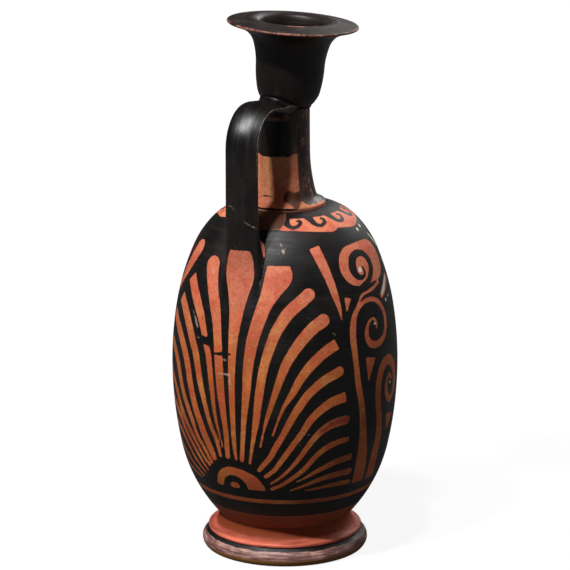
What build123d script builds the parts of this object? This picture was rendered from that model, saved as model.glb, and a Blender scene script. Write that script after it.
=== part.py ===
"""A tall lekythos: five pieces of thrown or pulled clay, and the slip that lutes them together.

Millimetres and degrees. +Z is up along the turning axis, the handle is on -X and the
painted front on +X. The origin is at the middle of the foot's resting ring.
Every turned piece is one outline in the XZ half plane, turned round +Z. An outline runs upwards
through stations, each a radius, a level and a slope, which is 0 outwards, 90 upwards and 180 inwards.
"""

import os
from itertools import pairwise
from math import cos, radians, sin, sqrt, tan

from build123d import *

# Luting slip: its thickness in each joint, and how far it is squeezed out round the handle
LUTE = 0.4
LUTE_BEAD = 0.9

# Foot: a rounded ring, a groove and a hollow flare that carries the body in a dished seat
FOOT_HEIGHT = 12.6
SEAT_RADIUS = 24.6
SEAT_DISH = 2.0
FOOT_SPREAD = 6.5
RING_HEIGHT = 5.4
RING_TOP_DRAW = 1.4
STAND_DRAW = 1.3
STAND_WIDTH = 6.8
RECESS_DEPTH = 5.2
RECESS_SLOPE_WIDTH = 3.0
GROOVE_HEIGHT = 1.1
GROOVE_DEPTH = 0.5
FLARE_SPREAD = 4.3
FLARE_EDGE_HEIGHT = 1.7
FLARE_EDGE_DRAW = 0.9
FLARE_HOLLOW = 0.8

# Body: an egg with its fullest girth just below the middle and a broad, low shoulder
BODY_HEIGHT = 118.0
BODY_WALL = 4.2
BODY_FLOOR = 6.0
BASE_SLOPE = 47.0
BELLY_RADIUS = 42.0
BELLY_SHARE = 0.49
SHOULDER_DRAW = 7.7
SHOULDER_DROP = 17.0
SHOULDER_SLOPE = 112.5
CROWN_SLOPE = 174.0

# Neck: a narrow pipe with a flared foot, a raised collar and a spigot that enters the shoulder
NECK_HEIGHT = 36.4
NECK_RADIUS = 9.2
NECK_BORE_RADIUS = 5.5
NECK_FLARE_SWELL = 2.3
NECK_FLARE_LEVEL = 3.9
NECK_FLARE_SLOPE = 105.0
NECK_SPREAD_SLOPE = 157.5
COLLAR_RADIUS = 15.2
COLLAR_HEIGHT = 1.3
COLLAR_LEDGE = 1.0
SPIGOT_WALL = 3.1
SPIGOT_DEPTH = 3.6

# Mouth: a bell with a drooping lip, set a little off the neck's axis and leaning
MOUTH_HEIGHT = 31.6
MOUTH_WALL = 2.9
MOUTH_FOOT_INSET = 0.6
MOUTH_HOLE_EASE = 0.7
MOUTH_FOOT_SLOPE = 47.0
MOUTH_FLOOR_SLOPE = 75.0
HEEL_RADIUS = 11.6
HEEL_LEVEL = 5.2
HEEL_SLOPE = 77.5
THROAT_RADIUS = 14.1
THROAT_DROP = 9.1
THROAT_SLOPE = 72.0
THROAT_INNER_SLOPE = 76.0
LIP_RADIUS = 24.2
LIP_DROP = 2.0
LIP_EDGE_THICKNESS = 1.0
LIP_SLOPE = 12.0
CREST_RADIUS = 14.8
CREST_ROUND = 1.2
RIM_SLOPE = 66.0
MOUTH_LEAN = 3.6
MOUTH_SHIFT = 1.0
MOUTH_LEAN_TOWARD = -63.6

# Handle: a crowned strap that rises straight from the shoulder and turns in under the mouth.
# Its inner side swells at both ends, where it is pressed on. Its reach is a share of the belly's
# radius, and its bend and top swell are shares of its reach, so that they always fit together.
STRAP_WIDTH = 12.4
STRAP_EDGE = 2.6
STRAP_CROWN = 1.3
STRAP_BELLY = 0.7
STRAP_ROUND = 0.9
HANDLE_REACH_SHARE = 0.824
HANDLE_BEND_SHARE = 0.376
HANDLE_TOP_DROP = 0.4
HANDLE_SLOPE = 8.0
ROOT_BURIAL = 30.0
ROOT_SWELL_RISE = 8.0
ROOT_SWELL_DEPTH = 18.0
TOP_SWELL_SHARE = 0.55
TOP_SWELL_DEPTH = 8.0
SWELL_SHARES = (0, 1 / 2, 1)

# Sizes and levels that follow from the ones above
FOOT_RADIUS = SEAT_RADIUS + FOOT_SPREAD
STAND_OUTER_RADIUS = FOOT_RADIUS - STAND_DRAW
STAND_INNER_RADIUS = STAND_OUTER_RADIUS - STAND_WIDTH
RECESS_RADIUS = STAND_INNER_RADIUS - RECESS_SLOPE_WIDTH
FLARE_RADIUS = SEAT_RADIUS + FLARE_SPREAD
BODY_BASE = FOOT_HEIGHT + LUTE
BODY_TOP = BODY_BASE + BODY_HEIGHT
BELLY_LEVEL = BODY_BASE + BELLY_SHARE * BODY_HEIGHT
SPIGOT_RADIUS = NECK_BORE_RADIUS + SPIGOT_WALL
SHOULDER_HOLE_RADIUS = SPIGOT_RADIUS + LUTE
NECK_SEAT = BODY_TOP + LUTE
NECK_TOP = NECK_SEAT + NECK_HEIGHT
MOUTH_FOOT_RADIUS = NECK_RADIUS - MOUTH_FOOT_INSET
MOUTH_HOLE_RADIUS = NECK_BORE_RADIUS + MOUTH_SHIFT + MOUTH_HOLE_EASE
THROAT_LEVEL = MOUTH_HEIGHT - THROAT_DROP
LIP_LEVEL = MOUTH_HEIGHT - LIP_DROP
HANDLE_REACH = HANDLE_REACH_SHARE * BELLY_RADIUS
HANDLE_BEND_RADIUS = HANDLE_BEND_SHARE * HANDLE_REACH
TOP_SWELL_REACH = TOP_SWELL_SHARE * HANDLE_REACH

LEAN_X = sin(radians(MOUTH_LEAN)) * cos(radians(MOUTH_LEAN_TOWARD))
LEAN_Y = sin(radians(MOUTH_LEAN)) * sin(radians(MOUTH_LEAN_TOWARD))
NECK_END = Plane(
    origin=(
        MOUTH_SHIFT * cos(radians(MOUTH_LEAN_TOWARD)),
        MOUTH_SHIFT * sin(radians(MOUTH_LEAN_TOWARD)),
        NECK_TOP,
    ),
    z_dir=(LEAN_X, LEAN_Y, cos(radians(MOUTH_LEAN))),
)
MOUTH_SEAT = NECK_END.offset(LUTE)

# Stations of the three outlines that the handle meets; the mouth's are in its own frame
STRAIGHT_UP = 90.0
BODY_STATIONS = [
    (SEAT_RADIUS, BODY_BASE, BASE_SLOPE),
    (BELLY_RADIUS, BELLY_LEVEL, STRAIGHT_UP),
    (BELLY_RADIUS - SHOULDER_DRAW, BODY_TOP - SHOULDER_DROP, SHOULDER_SLOPE),
    (COLLAR_RADIUS, BODY_TOP, CROWN_SLOPE),
]
NECK_STATIONS = [
    (COLLAR_RADIUS - COLLAR_LEDGE, NECK_SEAT + COLLAR_HEIGHT, NECK_SPREAD_SLOPE),
    (NECK_RADIUS + NECK_FLARE_SWELL, NECK_SEAT + NECK_FLARE_LEVEL, NECK_FLARE_SLOPE),
    (NECK_RADIUS, NECK_TOP + MOUTH_SHIFT, STRAIGHT_UP),
]
MOUTH_STATIONS = [
    (MOUTH_FOOT_RADIUS, 0, MOUTH_FOOT_SLOPE),
    (HEEL_RADIUS, HEEL_LEVEL, HEEL_SLOPE),
    (THROAT_RADIUS, THROAT_LEVEL, THROAT_SLOPE),
    (LIP_RADIUS - LIP_EDGE_THICKNESS / 2, LIP_LEVEL - LIP_EDGE_THICKNESS / 2, LIP_SLOPE),
]


def at(radius, level):
    """The point of an outline at this radius and level."""
    return Vector(radius, 0, level)


def heading(slope):
    """The direction of an outline at this slope."""
    return Vector(cos(radians(slope)), 0, sin(radians(slope)))


def turn(edges):
    """The solid that a closed outline makes when it is turned round the axis."""
    return revolve(make_face(edges), Axis.Z)


def polyline(points):
    """Straight edges through these points."""
    return [Line(a, b) for a, b in zip(points, points[1:])]


def moved(station, distance):
    """A station's point, moved outside its outline by a distance, or inside if it is negative."""
    radius, level, slope = station
    along = heading(slope)
    return at(radius, level) + Vector(along.Z, 0, -along.X) * distance


def rounded(stations, distance=0):
    """Two tangent arcs from each station to the next, all moved outside by a distance."""
    edges = []
    for low, high in pairwise(stations):
        start, end = moved(low, distance), moved(high, distance)
        leaving, arriving = heading(low[-1]), heading(high[-1])
        chord = end - start
        ahead = chord.dot(leaving + arriving)
        spread = 2 - 2 * leaving.dot(arriving)
        reach = chord.dot(chord) / (ahead + sqrt(ahead**2 + spread * chord.dot(chord)))
        meeting = (start + end + (leaving - arriving) * reach) / 2
        first = TangentArc(start, meeting, tangent=leaving)
        edges.extend([first, TangentArc(meeting, end, tangent=first % 1)])
    return edges


def grown(stations, distance):
    """The full round solid whose surface lies at this distance outside an outline."""
    low, high = moved(stations[0], distance), moved(stations[-1], distance)
    return turn([*rounded(stations, distance), *polyline([high, at(0, high.Z), at(0, low.Z), low])])


def seat_arc(level):
    """The dished line of the joint between foot and body, from its rim at this level to the axis."""
    sphere = (SEAT_RADIUS**2 + SEAT_DISH**2) / (2 * SEAT_DISH)
    halfway = SEAT_RADIUS / 2
    lowest = level - SEAT_DISH
    return ThreePointArc(
        at(SEAT_RADIUS, level), at(halfway, lowest + sphere - sqrt(sphere**2 - halfway**2)), at(0, lowest)
    )


def make_foot():
    """The foot: resting ring, groove, hollow flare and the dished seat on top."""
    groove_top = RING_HEIGHT + GROOVE_HEIGHT
    flare_top = groove_top + FLARE_EDGE_HEIGHT
    ring_top = at(FOOT_RADIUS - RING_TOP_DRAW, RING_HEIGHT)
    groove = at(FLARE_RADIUS - GROOVE_DEPTH, groove_top)
    flare_edge = at(FLARE_RADIUS - FLARE_EDGE_DRAW, flare_top)
    rim = at(SEAT_RADIUS, FOOT_HEIGHT)
    hollow = (flare_edge + rim) / 2 - at(FLARE_HOLLOW, FLARE_HOLLOW)
    underside = polyline(
        [
            at(0, FOOT_HEIGHT - SEAT_DISH),
            at(0, RECESS_DEPTH),
            at(RECESS_RADIUS, RECESS_DEPTH),
            at(STAND_INNER_RADIUS, 0),
            at(STAND_OUTER_RADIUS, 0),
        ]
    )
    outside = [
        ThreePointArc(at(STAND_OUTER_RADIUS, 0), at(FOOT_RADIUS, RING_HEIGHT / 2), ring_top),
        Line(ring_top, groove),
        ThreePointArc(groove, at(FLARE_RADIUS, groove_top + FLARE_EDGE_HEIGHT / 2), flare_edge),
        ThreePointArc(flare_edge, hollow, rim),
    ]
    return turn([*underside, *outside, seat_arc(FOOT_HEIGHT)])


def make_foot_lute():
    """The dished layer of slip between the foot and the body."""
    rim = Line(at(SEAT_RADIUS, FOOT_HEIGHT), at(SEAT_RADIUS, BODY_BASE))
    middle = Line(at(0, FOOT_HEIGHT - SEAT_DISH), at(0, BODY_BASE - SEAT_DISH))
    return turn([seat_arc(FOOT_HEIGHT), rim, seat_arc(BODY_BASE), middle])


def make_body_mass():
    """The body's outside as a full solid, with its rounded base."""
    seat = polyline([at(COLLAR_RADIUS, BODY_TOP), at(0, BODY_TOP), at(0, BODY_BASE - SEAT_DISH)])
    return turn([seat_arc(BODY_BASE), *rounded(BODY_STATIONS), *seat])


def make_body():
    """The thrown body: an even wall, a thicker floor and the hole for the neck's spigot."""
    floor = Plane.XY.offset(BODY_BASE + BODY_FLOOR)
    hollow = split(grown(BODY_STATIONS, -BODY_WALL), bisect_by=floor, keep=Keep.TOP)
    hole = Pos(0, 0, BODY_TOP) * Cylinder(SHOULDER_HOLE_RADIUS, 3 * BODY_WALL)
    return make_body_mass() - hollow - hole


def make_neck_lute():
    """The slip under the collar and round the spigot."""
    return turn(
        polyline(
            [
                at(SPIGOT_RADIUS, NECK_SEAT),
                at(SPIGOT_RADIUS, NECK_SEAT - SPIGOT_DEPTH),
                at(SHOULDER_HOLE_RADIUS, NECK_SEAT - SPIGOT_DEPTH),
                at(SHOULDER_HOLE_RADIUS, BODY_TOP),
                at(COLLAR_RADIUS, BODY_TOP),
                at(COLLAR_RADIUS, NECK_SEAT),
                at(SPIGOT_RADIUS, NECK_SEAT),
            ]
        )
    )


def make_neck():
    """The neck: bore, spigot, collar and pipe, cut off on the slant under the leaning mouth."""
    ledge = moved(NECK_STATIONS[0], 0)
    top = moved(NECK_STATIONS[-1], 0)
    pipe = polyline(
        [
            top,
            at(NECK_BORE_RADIUS, top.Z),
            at(NECK_BORE_RADIUS, NECK_SEAT - SPIGOT_DEPTH),
            at(SPIGOT_RADIUS, NECK_SEAT - SPIGOT_DEPTH),
            at(SPIGOT_RADIUS, NECK_SEAT),
            at(COLLAR_RADIUS, NECK_SEAT),
        ]
    )
    collar = ThreePointArc(
        at(COLLAR_RADIUS, NECK_SEAT), at(COLLAR_RADIUS, NECK_SEAT + COLLAR_HEIGHT / 2), ledge
    )
    blank = turn([*pipe, collar, *rounded(NECK_STATIONS)])
    return split(blank, bisect_by=NECK_END, keep=Keep.BOTTOM)


def make_mouth_lute():
    """The ring of slip between the neck's slanted end and the mouth."""
    ring = Circle(MOUTH_FOOT_RADIUS) - Circle(MOUTH_HOLE_RADIUS)
    return NECK_END * extrude(ring, LUTE)


def make_mouth():
    """The mouth: a bell with a drooping lip, hollow down to the hole over the neck."""
    lip_edge = moved(MOUTH_STATIONS[-1], 0)
    lip_top = at(LIP_RADIUS - LIP_EDGE_THICKNESS / 2, LIP_LEVEL + LIP_EDGE_THICKNESS / 2)
    crest = at(CREST_RADIUS, MOUTH_HEIGHT)
    crest_round = at(CREST_RADIUS - CREST_ROUND, MOUTH_HEIGHT - CREST_ROUND / 4)
    inside = [
        (MOUTH_HOLE_RADIUS, MOUTH_WALL, MOUTH_FLOOR_SLOPE),
        (THROAT_RADIUS - MOUTH_WALL, THROAT_LEVEL, THROAT_INNER_SLOPE),
        (CREST_RADIUS - 2 * CREST_ROUND, MOUTH_HEIGHT - CREST_ROUND, RIM_SLOPE),
    ]
    lip = [
        ThreePointArc(lip_edge, at(LIP_RADIUS, LIP_LEVEL), lip_top),
        Line(lip_top, crest),
        ThreePointArc(crest, crest_round, moved(inside[-1], 0)),
    ]
    floor = polyline([moved(inside[0], 0), at(MOUTH_HOLE_RADIUS, 0), at(MOUTH_FOOT_RADIUS, 0)])
    return MOUTH_SEAT * turn([*rounded(MOUTH_STATIONS), *lip, *rounded(inside), *floor])


def strap_section(bead, depth):
    """The strap's crowned section, grown by a bead all round and deepened on its inner side."""
    half_width = STRAP_WIDTH / 2 + bead
    outer = STRAP_EDGE / 2 + bead
    inner = -outer - depth
    outline = [
        Line((-half_width, outer), (-half_width, inner)),
        ThreePointArc((-half_width, inner), (0, inner - STRAP_BELLY), (half_width, inner)),
        Line((half_width, inner), (half_width, outer)),
        ThreePointArc((half_width, outer), (0, outer + STRAP_CROWN), (-half_width, outer)),
    ]
    section = make_face(outline)
    return fillet(section.vertices(), STRAP_ROUND)


def thickened(plane, length, bead, depth):
    """An end of the strap: it runs a length along a plane's normal while its inner side swells to a depth."""
    sections = []
    for share in SWELL_SHARES:
        sections.append(plane.offset(length * share) * strap_section(bead, depth * share**2))
    return loft(sections)


def strap(bead):
    """The handle's strap with its thickened ends, both left long, grown by a bead all round."""
    slope = radians(HANDLE_SLOPE)
    top_level = NECK_TOP - HANDLE_TOP_DROP
    root_start = Vector(-HANDLE_REACH, 0, BODY_TOP + ROOT_SWELL_RISE)
    corner = Vector(-HANDLE_REACH, 0, top_level + HANDLE_REACH * tan(slope))
    top_start = Vector(-TOP_SWELL_REACH, 0, top_level + TOP_SWELL_REACH * tan(slope))
    path = FilletPolyline(root_start, corner, top_start, radius=HANDLE_BEND_RADIUS)
    rising = Plane(origin=root_start, x_dir=(0, 1, 0), z_dir=(0, 0, 1))
    falling = Plane(origin=root_start, x_dir=(0, -1, 0), z_dir=(0, 0, -1))
    inward = Plane(origin=top_start, x_dir=(0, 1, 0), z_dir=(cos(slope), 0, -sin(slope)))
    arch = sweep(rising * strap_section(bead, 0), path)
    root = thickened(falling, ROOT_SWELL_RISE + ROOT_BURIAL, bead, ROOT_SWELL_DEPTH)
    top = thickened(inward, TOP_SWELL_REACH / cos(slope), bead, TOP_SWELL_DEPTH)
    return arch + root + top


def make_joint_masses(distance):
    """The body, neck and mouth as full solids, grown by a distance."""
    mouth = MOUTH_SEAT * grown(MOUTH_STATIONS, distance)
    return [grown(BODY_STATIONS, distance), grown(NECK_STATIONS, distance), mouth]


def make_handle():
    """The strap, saddle-cut to the shoulder, the neck and the mouth with room for the slip."""
    handle = strap(0)
    for mass in make_joint_masses(LUTE):
        handle -= mass
    return handle.solids().sort_by(SortBy.VOLUME)[-1]


def make_handle_lutes():
    """The two beads of slip under the handle's ends: on the shoulder, and on the neck and mouth."""
    wide = strap(LUTE_BEAD)
    body, neck, mouth = make_joint_masses(LUTE)
    root = (wide & body) - make_body_mass()
    top = wide & (neck + mouth)
    for mass in [*make_joint_masses(0), make_neck(), make_mouth_lute(), make_mouth()]:
        top -= mass
    return [bead.solids().sort_by(SortBy.VOLUME)[-1] for bead in (root, top)]


def main():
    """Builds every piece and writes one STEP file for each."""
    pieces = {
        "foot": make_foot(),
        "foot_lute": make_foot_lute(),
        "body": make_body(),
        "neck_lute": make_neck_lute(),
        "neck": make_neck(),
        "mouth_lute": make_mouth_lute(),
        "mouth": make_mouth(),
        "handle": make_handle(),
    }
    pieces["handle_root_lute"], pieces["handle_top_lute"] = make_handle_lutes()
    os.makedirs("parts", exist_ok=True)
    for name, piece in pieces.items():
        export_step(piece, f"parts/{name}.step")
        print(name, round(piece.volume, 1), piece.is_valid)


main()
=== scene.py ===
"""Looks of a tall painted lekythos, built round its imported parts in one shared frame.

Lengths in the classes are millimetres and angles are degrees. An angle round the pot is measured
from the handle, positive to the right for someone who faces the handle.
"""

import logging
import math
from dataclasses import dataclass, field, replace
from enum import Enum
from functools import partial
from typing import Any, Sequence

import bmesh
import bpy
import numpy as np
from bpy.types import Light, Material, Mesh, Node, NodeSocket, NodeTree, Object
from mathutils import Matrix, Vector
from mathutils.bvhtree import BVHTree

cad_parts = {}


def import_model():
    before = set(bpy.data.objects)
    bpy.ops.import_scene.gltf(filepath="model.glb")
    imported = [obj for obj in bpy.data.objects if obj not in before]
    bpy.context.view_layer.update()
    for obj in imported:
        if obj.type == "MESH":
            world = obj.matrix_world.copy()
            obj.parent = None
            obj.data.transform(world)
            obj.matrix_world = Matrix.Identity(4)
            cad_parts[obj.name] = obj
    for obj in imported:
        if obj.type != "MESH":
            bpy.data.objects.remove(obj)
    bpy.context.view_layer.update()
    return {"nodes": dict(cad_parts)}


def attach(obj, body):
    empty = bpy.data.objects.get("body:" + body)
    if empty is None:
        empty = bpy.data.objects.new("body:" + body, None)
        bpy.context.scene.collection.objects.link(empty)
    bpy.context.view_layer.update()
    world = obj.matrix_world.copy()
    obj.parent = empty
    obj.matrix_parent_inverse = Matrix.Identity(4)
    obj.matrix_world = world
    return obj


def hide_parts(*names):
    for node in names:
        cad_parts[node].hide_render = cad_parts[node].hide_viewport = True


LOG = logging.getLogger("lekythos")
MM = 0.001
BODY_NAME = "root"
FAR = 30.0
TINY = 1e-6
# Sockets of the Mix node when it mixes colours, and when it mixes numbers
MIX_FACTOR, MIX_A, MIX_B, MIX_RESULT = 0, 6, 7, 2
MIX_LOW, MIX_HIGH = 2, 3
# Refractive index of a fired clay film
FILM_IOR = 1.5
# Steps of a stroke's curve from one point to the next, and how far its paint reaches past it at most
CURVE_STEPS = 8
STROKE_REACH = 4.0
# Least half widths of a brush stroke and of a mark, and half the length of a dot, in millimetres
BRUSH_LEAST = 0.4
MARK_LEAST = 0.1
DOT_HALF = 0.01


def linear(code: str) -> tuple[float, float, float, float]:
    """Turns an sRGB hex colour into the linear colour that Blender mixes.

    Args:
        code: Six hex digits after a hash sign.

    Returns:
        Linear red, green, blue and an alpha of one.
    """
    channels = [int(code[place : place + 2], 16) / 255 for place in (1, 3, 5)]
    red, green, blue = [c / 12.92 if c <= 0.04045 else ((c + 0.055) / 1.055) ** 2.4 for c in channels]
    return red, green, blue, 1.0


def add_node(tree: NodeTree, kind: str, inputs: dict | None = None, **settings: Any) -> Node:
    """Adds one node to a tree, with its settings, values and links.

    Args:
        tree: The shader or geometry tree.
        kind: Blender's name for the node's type.
        inputs: Sockets by name or place, each with a value or with the output that feeds it.
        settings: Properties of the node.

    Returns:
        The new node.
    """
    node = tree.nodes.new(kind)
    for name, value in settings.items():
        setattr(node, name, value)
    for key, value in (inputs or {}).items():
        if isinstance(value, NodeSocket):
            tree.links.new(value, node.inputs[key])
        else:
            node.inputs[key].default_value = value
    return node


def arithmetic(tree: NodeTree, operation: str, *values: Any) -> NodeSocket:
    """Adds one step of arithmetic to a tree.

    Args:
        tree: The shader or geometry tree.
        operation: Blender's name for the step.
        values: Numbers, or the outputs that feed them.

    Returns:
        The output with the result.
    """
    return add_node(tree, "ShaderNodeMath", dict(enumerate(values)), operation=operation).outputs[0]


def ramp(values: np.ndarray, start: float, end: float) -> np.ndarray:
    """Changes evenly from 0 at the start to 1 at the end, and stays so beyond them."""
    return np.clip((values - start) / (end - start), 0, 1)


def hump(values: np.ndarray, middle: float, spread: float) -> np.ndarray:
    """A smooth hump, 1 high, round a middle value."""
    return np.exp(-(((values - middle) / spread) ** 2))


def angle_round(places: np.ndarray) -> np.ndarray:
    """How many degrees round the pot from the handle these places lie."""
    return np.degrees(np.arctan2(-places[:, 1], -places[:, 0]))


@dataclass(frozen=True)
class Ripple:
    """A wave along an angle or a level: its height, its radians for each unit and its start."""

    height: float
    rate: float
    start: float = 0.0

    def at(self, values: np.ndarray) -> np.ndarray:
        """The wave's height at these values."""
        return self.height * np.sin(self.rate * values + self.start)


def rippled(values: np.ndarray, ripples: Sequence[Ripple]) -> np.ndarray:
    """The height of several waves together."""
    return sum(ripple.at(values) for ripple in ripples)


class Slot(Enum):
    """Material slot names."""

    PAINTED_CLAY = "painted_clay"
    BLACK_GLOSS = "black_gloss"
    FOOT_CLAY = "foot_clay"
    LUTING_SLIP = "luting_slip"


class Paint(Enum):
    """What a brush stroke leaves: each one is a distance in millimetres stored on the mesh."""

    RESERVED = "reserve"
    CREAM = "cream"
    SCUFF = "scuff"
    FLUSH = "flush"
    # Dark brown wash; behind the handle it also stands for painted shade under the handle.
    WASH = "wash"
    GLOSS = "gloss"


class Tip(Enum):
    """How a stroke ends: round, cut square across, or cut level."""

    ROUND = "round"
    SQUARE = "square"
    LEVEL = "level"


@dataclass(frozen=True)
class Station:
    """A point of an outline, and its slope there: 0 outwards, 90 upwards and 180 inwards."""

    radius: float
    level: float
    slope: float

    def point(self) -> np.ndarray:
        """The station's radius and level."""
        return np.array([self.radius, self.level])

    def heading(self) -> np.ndarray:
        """The unit vector along the outline."""
        return np.array([math.cos(math.radians(self.slope)), math.sin(math.radians(self.slope))])

    def inside(self, distance: float) -> "Station":
        """The station of a parallel outline that lies this far inside.

        Args:
            distance: How far inside, across the outline.

        Returns:
            The moved station, with the same slope.
        """
        along = self.heading()
        moved = self.point() - distance * np.array([along[1], -along[0]])
        return replace(self, radius=float(moved[0]), level=float(moved[1]))


@dataclass
class Outline:
    """A turned piece's outline, drawn stretch by stretch as radius and level."""

    softness: float = 0.22
    smooth_reach: float = 3.0
    grain: float = 0.08
    finest: float = 0.14
    turn: float = 0.3
    points: list[np.ndarray] = field(default_factory=list)
    gaps: list[float] = field(default_factory=list)

    def start(self, radius: float, level: float) -> "Outline":
        """Sets the first point."""
        self.points = [np.array([radius, level], float)]
        self.gaps = [1.0]
        return self

    def along(self, stations: Sequence[Station], gap: float) -> "Outline":
        """Starts at the first station and runs through the others.

        Args:
            stations: At least two stations.
            gap: Widest gap between rows.

        Returns:
            This outline.
        """
        return self.start(stations[0].radius, stations[0].level).run(stations, gap)

    def draw(self, stretch: np.ndarray, gap: float) -> None:
        """Adds a stretch, whose first point is the last one drawn.

        Args:
            stretch: Points along it.
            gap: Widest gap between the mesh's rows there.
        """
        self.points.extend(stretch[1:])
        self.gaps.extend([gap] * (len(stretch) - 1))

    def line(self, radius: float, level: float, gap: float = 3.0) -> "Outline":
        """Draws a straight stretch.

        Args:
            radius: Where it ends.
            level: Where it ends.
            gap: Widest gap between rows.

        Returns:
            This outline.
        """
        end = np.array([radius, level], float)
        count = max(2, int(np.linalg.norm(end - self.points[-1]) / self.grain))
        self.draw(np.linspace(self.points[-1], end, count + 1), gap)
        return self

    def arc(self, heading: np.ndarray, end: np.ndarray, gap: float) -> np.ndarray:
        """Draws an arc that leaves the last point along a heading.

        Args:
            heading: Unit vector at the start.
            end: Where the arc ends.
            gap: Widest gap between rows.

        Returns:
            The heading at the end.
        """
        start = self.points[-1]
        chord = end - start
        left = np.array([-heading[1], heading[0]])
        sweep = 2 * math.atan2(float(chord @ left), float(chord @ heading))
        count = max(2, int(np.linalg.norm(chord) / self.grain))
        turns = np.linspace(0, sweep, count + 1)[:, None]
        if abs(sweep) < TINY:
            self.draw(np.linspace(start, end, count + 1), gap)
            return heading
        radius = float(chord @ chord) / (2 * float(chord @ left))
        self.draw(start + radius * (np.sin(turns) * heading + (1 - np.cos(turns)) * left), gap)
        return math.cos(sweep) * heading + math.sin(sweep) * left

    def bend(self, via: tuple[float, float], end: tuple[float, float], gap: float = 1.0) -> "Outline":
        """Draws an arc through a middle point.

        Args:
            via: Radius and level on the way.
            end: Radius and level at the end.
            gap: Widest gap between rows.

        Returns:
            This outline.
        """
        start, middle, last = self.points[-1], np.array(via, float), np.array(end, float)
        first, second = middle - start, last - start
        back = last - middle
        half = math.atan2(first[0] * back[1] - first[1] * back[0], float(first @ back))
        aim = math.atan2(second[1], second[0]) - half
        self.arc(np.array([math.cos(aim), math.sin(aim)]), last, gap)
        return self

    def run(self, stations: Sequence[Station], gap: float = 1.0) -> "Outline":
        """Draws two tangent arcs from each station to the next, from the first one on.

        Args:
            stations: At least two stations; the first is where the outline stands.
            gap: Widest gap between rows.

        Returns:
            This outline.
        """
        for low, high in zip(stations, stations[1:]):
            chord = high.point() - low.point()
            ahead = float(chord @ (low.heading() + high.heading()))
            spread = 2 - 2 * float(low.heading() @ high.heading())
            reach = float(chord @ chord) / (ahead + math.sqrt(ahead**2 + spread * float(chord @ chord)))
            meeting = (low.point() + high.point() + (low.heading() - high.heading()) * reach) / 2
            heading = self.arc(low.heading(), meeting, gap)
            self.arc(heading, high.point(), gap)
        return self

    def rows(self) -> np.ndarray:
        """Softens the corners and spaces the rows, closer where the outline bends.

        Returns:
            One radius and level for each row of the mesh.
        """
        drawn = np.array(self.points)
        along = np.r_[0, np.cumsum(np.hypot(*np.diff(drawn, axis=0).T))]
        count = int(along[-1] / self.grain)
        even = np.linspace(0, along[-1], count + 1)
        track = np.stack([np.interp(even, along, drawn[:, axis]) for axis in (0, 1)], 1)
        reach = int(self.smooth_reach * self.softness / self.grain)
        weights = np.exp(-0.5 * (np.arange(-reach, reach + 1) * self.grain / self.softness) ** 2)
        weights /= weights.sum()
        before = 2 * track[0] - track[reach:0:-1]
        after = 2 * track[-1] - track[-2 : -reach - 2 : -1]
        padded = np.concatenate([before, track, after])
        soft = np.stack([np.convolve(padded[:, axis], weights, "valid") for axis in (0, 1)], 1)
        heading = np.unwrap(np.arctan2(*np.gradient(soft, axis=0).T[::-1]))
        bending = np.abs(np.gradient(heading)) / self.grain
        gap = np.interp(even, along, self.gaps)
        gap = np.clip(self.turn / np.maximum(bending, TINY), self.finest, gap)
        steps = np.r_[0, np.cumsum(self.grain / ((gap[1:] + gap[:-1]) / 2))]
        wanted = np.linspace(0, steps[-1], int(round(steps[-1])) + 1)
        return np.stack([np.interp(wanted, steps, soft[:, axis]) for axis in (0, 1)], 1)


def edge_wear(rows: np.ndarray, widest: float = 1.2, sharper: float = 3.0) -> np.ndarray:
    """How much each row of an outline stands out as a convex edge, which rubbing hands wear first.

    Args:
        rows: Radius and level of each row, in the order that keeps the clay on the left.
        widest: Edge radius at which no wear shows, in millimetres.
        sharper: How many times that bend is added before an edge is worn bare.

    Returns:
        A number from 0 on flat or hollow rows to 1 on sharp edges.
    """
    step = np.diff(rows, axis=0)
    length = np.hypot(*step.T)
    heading = np.unwrap(np.arctan2(step[:, 1], step[:, 0]))
    bending = np.zeros(len(rows))
    bending[1:-1] = np.diff(heading) / ((length[1:] + length[:-1]) / 2)
    return np.clip((bending * widest - 1) / sharper, 0, 1)


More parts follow.
